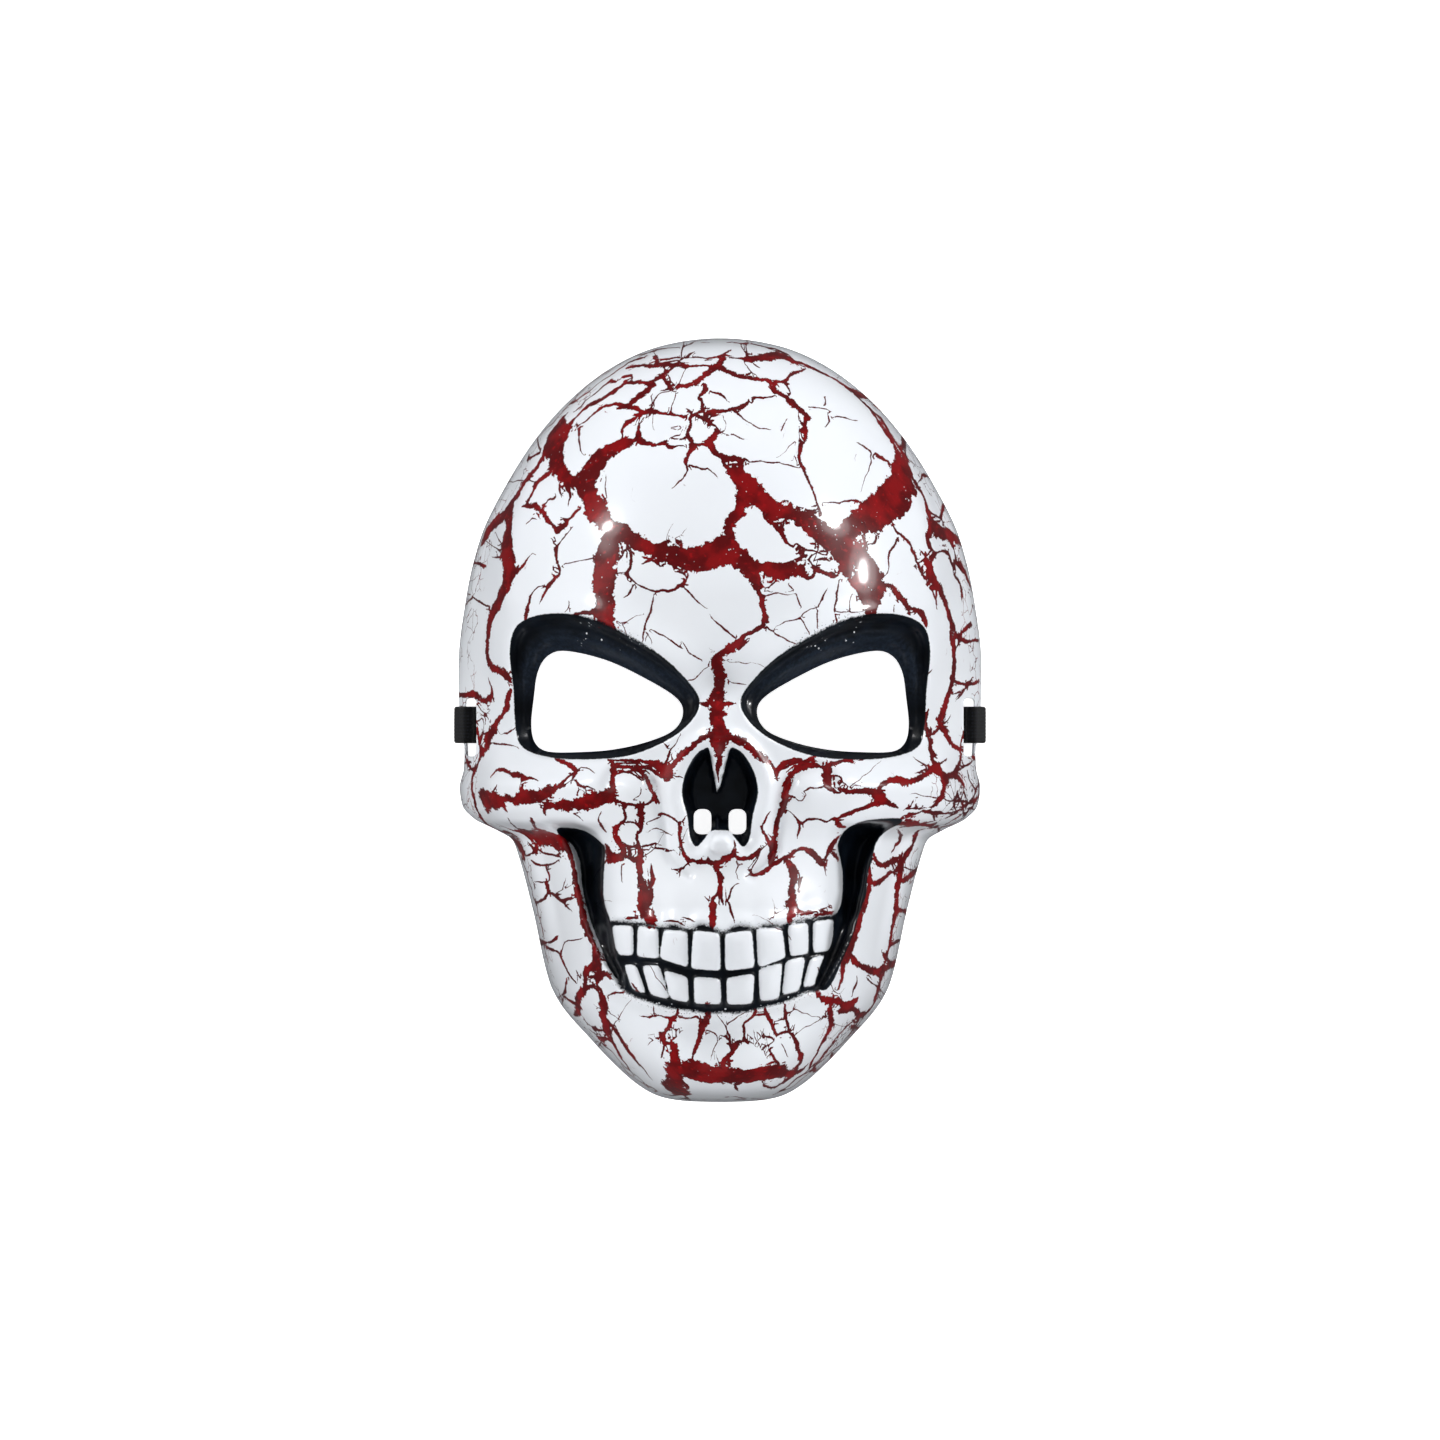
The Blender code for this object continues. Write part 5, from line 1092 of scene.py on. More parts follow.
    ((36, -14, 1.4), (38, -13.8, 1.3), (40, -13.2, 1.1), (42, -12.8, 1.6)),
    ((45, -13, 0.4), (47, -12.3, 0.5), (49.6, -11.5, 0.4)),
    ((22.5, -19.5, 2.4), (21.5, -22.5, 2.7), (21, -25, 2.7), (20.5, -27.5, 2.5), (19.5, -30, 2.1),
    (18.8, -32.5, 2.1), (18.3, -35, 2.5), (17.8, -38, 2.5), (17.4, -41, 3), (17, -43.5, 2.7),
    (16.4, -45.6, 1.8)),
    ((22.3, -43.8, 0.9), (20, -45, 1.1), (18.3, -46, 1.6), (16.6, -47, 1.5), (15, -48.3, 1.5),
    (12.6, -49.8, 1.2), (10, -50.2, 0.7)),
    ((10.4, -49.6, 0.4), (9.5, -48, 0.5), (9.8, -50, 0.6), (8.5, -50.6, 0.4)),
    ((22, -24.8, 0.9), (24, -24.8, 0.8), (25, -26, 0.6), (26.5, -26.2, 0.4), (27.6, -24.4, 0.3)),
    ((27, -23, 0.5), (29, -21.8, 0.7), (31, -22.2, 0.6), (33, -21.8, 0.6), (34.5, -20.6, 0.6)),
    ((16, -30, 0.4), (15, -31.5, 0.8), (14.3, -33, 1), (13.5, -34.5, 1.2), (14, -36.5, 1.1),
    (15.3, -38.5, 1.1), (16, -40, 1.1), (16.2, -43, 0.9), (16, -45, 0.7)),
    ((22.5, -29.5, 0.3), (24.5, -31.5, 0.6), (25.7, -33, 0.9), (25.8, -35, 0.9), (25, -37.6, 0.4)),
    ((26, -34, 0.6), (27, -33.3, 0.7), (28, -32.3, 0.7), (30, -32.1, 0.7), (32.5, -32.2, 0.7), (34, -33, 0.8),
    (36, -32.2, 0.9), (37.4, -31.9, 1.6), (38, -33.3, 2.3), (39, -34.4, 1.2), (40.5, -34.8, 0.6)),
    ((38.8, -31.6, 1.2), (41, -30.5, 1.5), (43, -29.8, 1.4), (45, -29, 1.4), (47, -28.3, 1.4),
    (49, -27.8, 1.2), (51, -27, 1.6)),
    ((5, -44, 1), (7, -45, 1.7), (9, -44.8, 1.7), (11, -44, 1.9), (12.4, -42.4, 1.5), (13, -41.3, 0.8)),
    ((5, -45.5, 0.4), (6, -47, 0.4), (5, -49, 0.35), (5.6, -51, 0.3)),
    ((5.6, -52.9, 0.3), (4.5, -53.5, 0.5), (3.5, -55, 0.8), (2.4, -58.3, 0.8), (3.5, -62, 0.8),
    (4.6, -64.6, 0.6)),
    ((22.3, -44.3, 1.2), (23.5, -42.8, 1.4), (25, -42.2, 1.5), (27, -41.6, 1.9), (29, -42.6, 2.3),
    (30.5, -43.5, 2.3), (31.5, -45, 2.3), (33, -46.5, 2), (34, -46.9, 1.3), (34, -45, 1.1), (34.8, -43, 1.5),
    (35.5, -41.5, 1.7), (36.5, -40.4, 1.5), (37.5, -39, 1.4), (38.6, -37.8, 1)),
    ((36.8, -43.3, 1.2), (38.4, -45.1, 1.3)),
    ((34, -47.2, 0.5), (34.3, -49.8, 0.3)),
    ((21, -45.2, 1.4), (22.4, -46.4, 2.4), (23.3, -48, 3.1), (23.8, -50, 3.3), (23.9, -52, 2.7),
    (23, -54, 2.4), (23.3, -56, 2.9), (23.5, -58, 3.2), (23.5, -61, 3.3), (23, -63, 3), (22.5, -65.2, 2)),
    ((26.3, -51.3, 1), (25.8, -53, 1.1), (25.9, -55.2, 0.6)),
    ((24.5, -61.3, 1.2), (26.5, -62.5, 1.3), (29, -62.4, 1.5), (30.6, -61.9, 0.7)),
    ((31, -62.2, 0.7), (33, -61.3, 0.7), (35.8, -60.1, 0.5)),
    ((31, -63.6, 0.6), (34, -62.7, 0.9), (37, -62, 0.8)),
    # Right cheekbone
    ((38.5, -20.5, 0.8), (39, -22.5, 1.1), (41, -23.3, 1.5), (44, -23.2, 1.9), (47, -22.8, 2.3),
    (50, -23.5, 3.4), (51.7, -24.6, 4), (52.8, -26, 3.2), (54.2, -26.8, 2.1), (56, -27.5, 1.5),
    (57.7, -28.4, 0.8)),
    ((49.6, -24.8, 1), (50.4, -26.4, 0.9), (49.4, -27.6, 0.8)),
    ((51.5, -22.3, 1.6), (53, -20.6, 1.8), (55, -19.6, 2.1), (57, -19.3, 2.4), (59, -19.5, 2.4),
    (61, -20, 2.1), (63, -19.8, 2.1), (65, -19, 1.9), (66.5, -17.8, 1.9), (68, -16.8, 2), (69.6, -15.9, 2.5),
    (71, -16.4, 2.7), (72.4, -17.6, 2.2), (73.5, -18.5, 1.7), (75, -18.2, 1.4), (77, -18.2, 1.6),
    (78.5, -19.5, 1.4), (79.6, -21.2, 1)),
    ((70, -16, 2.1), (69.8, -14, 2.3), (69, -12.4, 1.7), (69.3, -10.5, 1.9), (68.3, -9, 1.4), (68.5, -7, 1.7),
    (67.5, -5, 1.4), (67, -2, 1.5), (67.3, 2, 1.5)),
    ((73, -18.5, 1.9), (72.8, -20.5, 1.9), (73, -22, 1.8), (72.5, -24, 1.5), (71.5, -26, 1.2),
    (70, -27.6, 0.9), (68.4, -28.6, 0.5)),
    ((66, -28.8, 0.4), (63.5, -28.6, 0.5), (60, -28.9, 0.4)),
    ((61.4, -28.4, 0.5), (62.6, -26.4, 0.5)),
    ((60, -31, 0.5), (63, -30.3, 0.5), (66, -29.8, 0.5), (70, -29.8, 0.5), (74, -30.5, 0.5), (78, -29.5, 0.5),
    (82, -27, 0.5), (85, -24.5, 0.5)),
    ((58.8, -32, 0.8), (61, -31.3, 0.9), (64, -30.4, 0.5)),
    ((85.3, -20, 0.5), (84.5, -25, 0.6), (82.5, -28.5, 0.6), (80, -31.5, 0.7), (77, -33.5, 0.6),
    (73, -34.8, 0.6), (69.5, -34.9, 0.8)),
    ((83.7, -16, 0.5), (84.5, -21, 0.4), (83, -25, 0.5), (80.5, -28, 0.5), (77, -30.5, 0.5),
    (74, -31.8, 0.5)),
    ((77, -24.3, 0.4), (76.3, -28, 0.5), (76.8, -30, 0.5)),
    ((79.4, -21.5, 0.5), (80.3, -25, 0.5), (80, -28.3, 0.4)),
    ((81, -17.5, 0.5), (82.3, -21, 0.5), (83.7, -23.5, 0.4)),
    ((75, -33.3, 0.7), (77.6, -31.8, 0.8), (81, -30, 0.5)),
    # Right jaw
    ((58.6, -33.9, 1.6), (61, -33.6, 2), (63, -33.7, 1.9), (65, -33.9, 1.6), (67, -34.3, 1.1),
    (69.5, -34.8, 0.9), (72, -34.9, 0.5)),
    ((57.8, -35.4, 0.7), (59, -37.4, 1), (58.6, -39.4, 1), (57, -41, 0.7), (56.2, -42.8, 0.4)),
    ((64.6, -36, 0.7), (63.5, -38, 1), (63.3, -40, 1.2), (61.8, -42.5, 1.3), (60.5, -45, 1.5)),
    ((50.1, -44.3, 1), (51, -46.3, 1.3), (52.5, -47.4, 1.5), (54.5, -46.9, 1.7), (56, -45.8, 1.8),
    (58, -45.4, 1.8), (60, -46, 1.7)),
    ((58.9, -46, 2.4), (58.7, -50, 2.4), (58.3, -53, 2.2), (57.8, -56, 1.9), (57.6, -60, 1.7),
    (57.3, -63, 1.7), (56.8, -66, 1.5), (56, -69, 1.3), (55.5, -72, 1.3), (55, -74.5, 1.1),
    (54.4, -76.8, 0.7)),
    ((64.3, -49.2, 0.8), (63, -50.8, 1.2), (61, -51.8, 1.3), (59.5, -52.5, 1.4)),
    ((57.5, -49.8, 1.1), (55.5, -49.5, 0.8), (54, -51, 1.1), (52, -52.7, 1.5), (50.5, -53.6, 1.5),
    (49, -52.5, 1.5), (48, -51.8, 1)),
    ((58, -62.4, 1.4), (59.5, -62.2, 1.3), (60.5, -62.5, 1.1), (60.9, -64.2, 0.7)),
    ((59.4, -72, 0.7), (57.5, -72.3, 0.7), (56, -73.4, 0.7)),
    ((48.6, -46, 0.8), (48.7, -49, 1), (48.4, -52, 1.3), (48.4, -55, 1.7), (47.6, -58, 1.8), (46.8, -61, 2),
    (45.6, -64, 2), (44.8, -67, 1.9), (43.8, -70, 1.9), (42.5, -73, 2.1), (41, -76, 2.5), (40, -78.5, 2.4),
    (39.6, -81, 1.9), (39.6, -83, 1.2), (38.8, -86, 0.6), (38, -88, 0.4)),
    ((42, -76.2, 1.4), (43.2, -78, 1.5), (44.5, -79.3, 1.7), (46.5, -80.3, 1.8), (48.5, -81.3, 2.2),
    (50.5, -82.2, 2.7), (52.4, -82, 3), (54, -81, 1.6), (56, -80.1, 1.5), (58.4, -79.2, 1.2)),
    ((44.5, -83.8, 0.3), (44, -86.5, 0.6), (43, -89.2, 0.3)),
    ((53, -83, 2), (52.2, -85.5, 1.4), (51.2, -88.5, 1.2), (50.6, -92, 1.3), (49, -94.5, 1.3),
    (47, -96.4, 1.5), (45.2, -95.8, 1.7), (44.3, -94.4, 1.8), (42.5, -93.8, 1.9), (41, -94, 1.7),
    (39, -94.4, 1.6)),
    ((31, -86.8, 1.4), (32, -89.3, 2.3), (33.5, -90.4, 2.3), (35, -91, 2.6), (37, -91.2, 2.2),
    (38.6, -91.6, 2.4), (40, -92.6, 2.4), (42, -92.6, 2.7), (44, -91.4, 1.5)),
    ((35.8, -91.8, 1.4), (35.5, -94, 1.6), (36, -96.5, 1.5), (36.2, -98.5, 1.6), (35.8, -100.5, 1.1),
    (35, -102, 1), (34.2, -104.5, 0.5)),
    ((45, -96.5, 1), (45, -98.5, 0.9), (44, -100, 0.9), (43, -101.5, 0.9), (42, -103.5, 0.7),
    (40.5, -105.2, 0.4)),
    ((43.5, -98, 0.6), (40, -101.3, 0.7), (37, -104.5, 0.7), (34, -108.3, 0.8), (31, -112, 0.8),
    (27, -115.5, 0.8), (23, -118.5, 0.7), (19, -120.8, 0.5)),
    ((45.5, -99, 0.5), (41, -104, 0.5), (37, -107.6, 0.6), (34, -110.6, 0.6), (30, -114.2, 0.6),
    (26, -117.5, 0.6), (22, -120.3, 0.5), (17, -122.4, 0.5)),
    ((35, -101, 0.8), (33.5, -104, 0.9), (32, -107, 0.8), (30.5, -110, 0.8), (29.4, -112.8, 0.6)),
    ((38.5, -103.5, 0.5), (35.5, -107, 0.5), (33.5, -109.5, 0.6), (31, -112.5, 0.5)),
    ((44, -101.5, 0.5), (41, -105.2, 0.5), (38, -108.6, 0.5), (35, -111.6, 0.5), (31.5, -114.6, 0.4)),
    ((36.5, -108.8, 0.9), (36.3, -110.8, 0.7)),
    ((28.5, -114.8, 0.5), (30.5, -113, 0.8), (31, -114.7, 0.8), (34.2, -112.8, 0.5)),
    # Chin
    ((-25.6, -96, 0.3), (-23, -96.3, 0.7), (-21, -95.8, 0.7), (-19, -95.8, 0.6), (-17, -96.2, 0.8),
    (-15.2, -96.5, 1.5), (-14, -95.4, 1.1), (-13.6, -93.6, 0.8)),
    ((-21.5, -92.8, 0.3), (-21.3, -95.4, 0.4)),
    ((-15.3, -96.5, 1.6), (-16.3, -98.5, 1.7), (-17, -100, 1.5), (-18, -101.5, 1.5), (-19, -103, 1.7),
    (-18, -104.3, 1.1), (-16.4, -104.8, 1), (-15.2, -105.1, 2), (-14.6, -107.5, 2.9), (-14.5, -110, 3.3),
    (-15, -112.5, 4), (-15.1, -115, 3.8), (-14.8, -117.5, 4.2), (-14.5, -119.5, 5), (-14.2, -121, 3.6)),
    ((-19.2, -103, 0.8), (-20.5, -103, 0.5), (-22, -104, 0.35), (-23.2, -105.2, 0.25)),
    ((-18, -104.8, 0.8), (-18.3, -107, 0.7), (-18.9, -109.2, 0.5)),
    ((-12.6, -100.6, 0.25), (-14, -102.5, 0.3), (-15.5, -103.3, 0.3)),
    ((-13.4, -99.8, 0.25), (-15.2, -101.8, 0.3), (-16.7, -103, 0.3)),
    ((-13.6, -96.3, 0.5), (-11, -96.5, 0.6), (-9.5, -96.5, 0.6), (-7.5, -95.8, 0.7), (-6.4, -97, 0.6)),
    ((-12.2, -117.3, 0.8), (-10.5, -118.5, 0.8), (-10.3, -119.9, 0.5)),
    ((-15, -113.7, 4), (-12.5, -113.2, 4.5), (-10, -113.6, 5.2), (-7, -114.6, 5.8), (-5, -114.8, 5.8),
    (-2, -114.8, 5.2), (0, -115.1, 4.9), (3, -115.4, 4.9), (5, -115.5, 4.8), (8, -115.6, 4.5),
    (11, -115.4, 4.5), (14, -114.7, 3.9), (16, -114.5, 3.9), (18, -114.3, 3.6), (20, -114.5, 3.2),
    (22, -114.8, 2.2), (24, -114.8, 1.8), (26, -114.2, 1.6), (27.6, -112.9, 1)),
    ((13.5, -117, 0.6), (14.5, -118.8, 0.7), (16, -119.5, 0.7), (18, -119.5, 1), (20.5, -118, 1.4),
    (22, -116.5, 1.5), (24, -115.5, 1.4)),
    ((4.8, -117.8, 0.5), (5, -119, 1), (5.9, -120.5, 0.4)),
    ((-4.4, -91.5, 1.2), (-4, -93.5, 1.3), (-3.6, -95.5, 2.3), (-4.5, -97, 2.7), (-5.5, -99, 2.7),
    (-6, -101, 2.2), (-6.5, -103, 2.1), (-7.5, -104.8, 1.7), (-8, -106.5, 1.3), (-8.7, -108, 0.9),
    (-9, -109.8, 0.5)),
    ((-4.6, -100.3, 0.5), (-2.5, -101, 0.5), (0, -102, 0.5), (2, -102.5, 0.6), (3, -103.8, 0.8),
    (3.8, -105.3, 0.9), (4.5, -104.5, 0.8), (6.8, -103.8, 1)),
    ((-1, -102.3, 0.25), (-0.8, -104, 0.3), (-2, -106, 0.3), (-2.8, -109, 0.25)),
    ((0.8, -112.5, 1.6), (1, -111, 1.9), (2, -109.5, 2.2), (3.5, -108.3, 1.8), (4.5, -106.8, 1.5),
    (5.5, -105.2, 1.3), (6.6, -104.2, 1.2), (8, -103.5, 1.3), (9.6, -104.6, 1)),
    ((2.6, -110, 1), (3.2, -112.3, 0.9)),
    ((7.8, -103.5, 0.9), (7.8, -101, 0.9), (7.5, -99, 0.8), (8, -97.8, 0.8), (9.5, -97, 0.9),
    (11, -95.5, 1.1), (11.5, -94, 1.2), (11, -92, 1)),
    ((11.6, -95.4, 0.8), (13.5, -95.3, 0.9), (15.3, -95.2, 1)),
    ((14.5, -93.3, 1), (15.3, -95.5, 1.5), (16.3, -97.3, 1.7), (17, -99, 1.5), (17.5, -100.5, 1.3),
    (18.4, -102.2, 0.8)),
    ((20.5, -91, 0.6), (21, -94, 1.2), (21.2, -96, 1.3), (21.8, -98, 1.1), (22.4, -100.6, 0.9)),
    ((21, -95, 0.4), (23.5, -94.5, 0.4), (24.2, -92.3, 0.3)),
    ((16.5, -98, 0.3), (19, -97.3, 0.35), (21, -97, 0.4)),
    ((9.8, -102.5, 0.3), (12, -101, 0.35), (13.5, -102, 0.4), (15, -102.5, 0.5), (17, -102, 0.6),
    (18.5, -101.8, 0.8), (20, -101.3, 0.9), (22, -100.8, 0.8), (23, -101.5, 1), (24, -103, 1.1),
    (25, -105, 1.3), (25.5, -107, 1.3), (26.3, -109.5, 1.5), (25.6, -112, 1.3), (24.3, -113.8, 1.2)),
    ((11, -101, 0.3), (11.5, -103.5, 0.35), (13, -105.5, 0.3), (14.6, -107.2, 0.25)),
    ((9.5, -104, 0.35), (11, -105, 0.4), (13, -104.5, 0.4), (15, -105.3, 0.5), (17, -104.5, 0.4),
    (18.6, -102.4, 0.4)),
    ((14, -100.5, 0.25), (13, -103, 0.35), (11.3, -105.3, 0.25)),
    ((15.4, -104.8, 0.6), (16, -106.5, 1), (16.5, -108, 1.1), (17.5, -109.5, 1.2), (18.5, -111, 1.3),
    (19.4, -112.7, 1)),
    ((12, -105.8, 0.25), (14, -107, 0.3), (15.2, -109.2, 0.25)),
    ((20, -105, 0.25), (21, -107, 0.3), (21.9, -109.3, 0.25)),
    ((24, -99.3, 0.4), (23.8, -103, 0.4)),
    ((-27, -116, 0.4), (-24, -118.8, 0.5), (-20, -121.3, 0.6), (-15, -122.3, 0.6), (-12, -121.9, 0.6),
    (-9.5, -124, 0.5)),
    ((-32, -112.5, 0.4), (-27.5, -117, 0.5), (-22.5, -120.5, 0.5), (-18, -122.3, 0.4)),
    ((-12, -123.4, 0.6), (-8, -123.9, 0.6), (-3, -123.9, 0.5), (2, -123.4, 0.6), (7, -123.7, 0.6),
    (12, -123.4, 0.5), (17, -123.8, 0.6)),
    ((1, -122.7, 0.4), (5, -122.4, 0.5), (9, -122.9, 0.4)),
    # Left jaw
    ((-67.8, -39, 1.2), (-66.3, -40.3, 2.8), (-65.2, -41.7, 3), (-64.5, -43.5, 2.6), (-64.5, -45.2, 1.2)),
    ((-62.3, -40.5, 0.7), (-61, -42, 0.9), (-60, -43, 0.8), (-62, -43.8, 0.8), (-63.3, -44.4, 0.8)),
    ((-64, -36.6, 1.6), (-62, -37.5, 3), (-58, -37.8, 4), (-54.5, -38.2, 4.4), (-51.5, -39.8, 4),
    (-49.3, -42.3, 3.3), (-47.8, -46, 2.7), (-46.8, -50, 2.3), (-46, -55, 2.3), (-45.8, -59, 2.9),
    (-45, -63, 3.4), (-43.5, -67, 3.4), (-42, -71, 3.3), (-40.6, -75, 3.3), (-39.8, -79, 3.4)),
    ((-61.6, -46, 0.4), (-60.5, -46.7, 0.6), (-59.5, -47.2, 0.8), (-57, -47.3, 0.8), (-55.5, -47.2, 0.7),
    (-52.8, -45.9, 0.4)),
    ((-56.8, -47.8, 0.5), (-55.8, -50, 0.7), (-55.8, -52.6, 0.4)),
    ((-60.6, -52.9, 0.3), (-58, -53, 0.5), (-57, -52.8, 0.7), (-56.5, -53.5, 1.1), (-56, -55, 1.3),
    (-56, -56, 1.1), (-57, -58, 0.9), (-58.5, -59, 0.8), (-60.3, -59.9, 0.7)),
    ((-56, -56, 1), (-54, -57, 0.9), (-52.5, -58, 0.9), (-51, -59, 1.1), (-50, -58.3, 1.1),
    (-47.8, -57.9, 0.9)),
    ((-51.4, -59, 0.9), (-50, -60.5, 0.6), (-48.4, -61.9, 0.3)),
    ((-56.6, -74.1, 0.6), (-54.5, -75, 0.7), (-52.3, -76, 0.7), (-51, -79, 0.6), (-49.8, -81.5, 0.5),
    (-48.5, -83.5, 0.45), (-46.8, -85.3, 0.4)),
    ((-51.6, -75.6, 0.4), (-51, -73, 0.35), (-49.5, -71.7, 0.35), (-47, -71.5, 0.4), (-44.8, -71, 0.4)),
    ((-46.6, -81.8, 0.35), (-44.8, -84.3, 0.35)),
    ((-38.6, -79.3, 1.8), (-40.5, -79.6, 1.7), (-42.5, -80.5, 2), (-43.8, -82.3, 1.9), (-43.7, -84.5, 1.4),
    (-43.8, -86.6, 1.3)),
    ((-39, -83.2, 1.6), (-40, -85, 1.5), (-39.7, -87, 1.5)),
    ((-42.5, -83.4, 1.4), (-40.5, -83.3, 1.4), (-38.7, -81.7, 1.6), (-36.6, -82.4, 1.5), (-35.3, -83.6, 0.8)),
    ((-46.3, -92.5, 1.7), (-46, -90.5, 1.9), (-45, -88.5, 2.1), (-43.5, -87, 1.9), (-41.5, -86.5, 1.4),
    (-40, -87, 1.7), (-38.8, -88.5, 2.1), (-38, -90, 2.2), (-37.8, -92.5, 2.8), (-38, -95, 2),
    (-37.8, -97.5, 2.1), (-37, -100, 2.1), (-36.3, -102, 1.9), (-35.3, -104, 1.7), (-34.5, -105.5, 1.3),
    (-33.5, -107.5, 1.2), (-32.5, -109.5, 1), (-31, -111.5, 0.7), (-29.5, -114, 0.5), (-28, -116, 0.4)),
    ((-46.2, -92.8, 1.5), (-46.3, -95, 1.7), (-47.6, -96.4, 1.3)),
    ((-50.5, -90.3, 0.7), (-48, -92, 0.8), (-46.5, -93, 0.8)),
    ((-39.2, -104, 1.2), (-38, -104, 1.3), (-37, -103.5, 1.1), (-35, -104.4, 1.1)),
    ((-39.6, -105.4, 0.5), (-38, -107, 0.5)),
    ((-36.6, -98.4, 0.5), (-34.5, -100, 1), (-33.2, -102, 1.3), (-32, -104, 1.3), (-30.5, -106, 1.4),
    (-29.5, -108, 1.4), (-28, -109.5, 1.1), (-27, -111, 1), (-25.5, -112.5, 0.7), (-24, -114.5, 0.5),
    (-22.4, -116.7, 0.3)),
    ((-41.6, -100, 0.4), (-40.5, -99.5, 0.4), (-39.5, -101.5, 0.4)),
    ((-36.8, -89.6, 0.3), (-35, -88.7, 0.7), (-33.5, -88.3, 0.9), (-31.5, -88.3, 1), (-30.3, -87.5, 0.7)),
    ((-28, -86, 0.8), (-27, -87, 0.8), (-26, -89, 0.7)),
    ((-42.5, -101, 0.4), (-38, -106, 0.5), (-33, -110.8, 0.5), (-28, -115.3, 0.4)),
    ((-64.9, -45.8, 0.5), (-63, -50, 0.5), (-61.5, -55, 0.5), (-60, -60, 0.5), (-58.6, -66, 0.5),
    (-57.4, -72, 0.5), (-56.4, -78, 0.5)),
)
ISLANDS = np.array([
    # X, Y, half width, half height of places left white inside a crack
    (48.8, 59, 1.9, 1.7), (43, 57.6, 1.4, 0.7), (45.7, 63.8, 1.2, 0.7), (46.8, 61.3, 0.5, 0.5),
    (43.2, 49, 1.2, 1.3), (40.6, 51.2, 0.9, 0.5), (35.5, 49.7, 1.4, 1.5), (56, 73.7, 0.5, 0.6),
    (53.9, 70.2, 0.5, 0.8), (47, 65.7, 0.5, 0.4), (43.4, 57.8, 1.9, 1), (45.4, 64.2, 0.9, 0.5),
    (46.9, 62.8, 0.5, 1), (47.1, 65.8, 0.4, 0.4), (53.8, 70.2, 0.4, 0.8), (56, 73.8, 0.4, 0.7),
    (42.9, 47.4, 0.7, 1.5), (44, 49.2, 1.2, 0.7), (40.4, 51.2, 0.7, 0.4), (49.5, 42.3, 0.9, 0.4),
    (-39.8, 62.6, 0.5, 0.4), (-34, 56.5, 0.3, 0.3), (3.7, 82.4, 1.9, 0.9), (2.6, 62.4, 0.8, 0.7),
    (3.4, 58.8, 0.7, 0.5), (3.5, 55, 1.3, 0.8), (-14, 53.3, 0.8, 1.4), (13.5, 47.2, 1.4, 1.4),
    (28.4, 49.3, 1.5, 1.6), (33.6, 50, 1.3, 1), (23.1, 67.2, 0.5, 0.4), (25.8, 61.8, 0.6, 0.5),
    (-32.3, 48.6, 0.8, 2), (-68, -27, 0.8, 1.1), (-39, -91, 0.4, 0.6), (36.8, -92.2, 0.8, 0.5),
    (-9.6, -114.4, 0.5, 0.4), (-3, -114, 0.6, 0.4), (60.3, 71.7, 0.9, 0.9), (46.5, 44.2, 0.4, 0.9),
    (49.5, 42.3, 0.8, 0.4), (-37.4, 84.3, 0.9, 0.9), (-41, 68.3, 0.8, 0.5), (-39.2, 72.8, 0.7, 0.7),
    (-53.8, 91.6, 0.8, 0.5), (-55, 86.4, 0.4, 0.9), (-52.4, 82, 0.5, 0.9), (-68.6, 53, 0.3, 0.4),
    (-36, 65.8, 0.5, 0.5), (-39, 44.6, 0.6, 0.4), (-38.9, 49.7, 0.4, 0.4), (-3, 113, 1.3, 0.4),
    (71, 61.7, 0.5, 0.7),
])
HAIRLINES, SIDE_LINES, LOOSE_LINES = 30, 40, 14
FAR = 6.0
random = np.random.default_rng(11)


def jagged(line, levels, bend):
    """A line broken at its middles again and again, each new point shifted sideways by chance."""
    p = np.asarray(line, float)
    for _ in range(levels):
        run = np.diff(p, axis=0)
        sideways = np.stack([-run[:, 1], run[:, 0], 0 * run[:, 0]], axis=1)
        middle = 0.5 * (p[:-1] + p[1:]) + sideways * random.uniform(-bend, bend, (len(run), 1))
        middle[:, 2] *= random.uniform(0.75, 1.2, len(run))
        merged = np.empty((len(p) + len(middle), 3))
        merged[::2], merged[1::2] = p, middle
        p = merged
    return p


def wandering(start, heading, length, width):
    """A thin crack that wanders from a point and thins out to nothing."""
    steps = max(int(length / 3.0), 2)
    turns = heading + np.cumsum(random.uniform(-0.3, 0.3, steps))
    places = start + np.cumsum(np.stack([np.cos(turns), np.sin(turns)], axis=1) * length / steps, axis=0)
    widths = width * np.linspace(0.9, 0.25, steps)
    return jagged(np.column_stack([np.vstack([start, places]), np.append(width, widths)]), 1, 0.16)


def forked(start, heading, length, width):
    """A wandering crack, and often a fork that leaves it half way."""
    first = wandering(start, heading, length, width)
    if random.uniform() > 0.55:
        return [first]
    middle = first[len(first) // 2]
    turn = random.choice((-1.0, 1.0)) * random.uniform(0.6, 1.2)
    return [first, wandering(middle[:2], heading + turn, 0.6 * length, middle[2])]


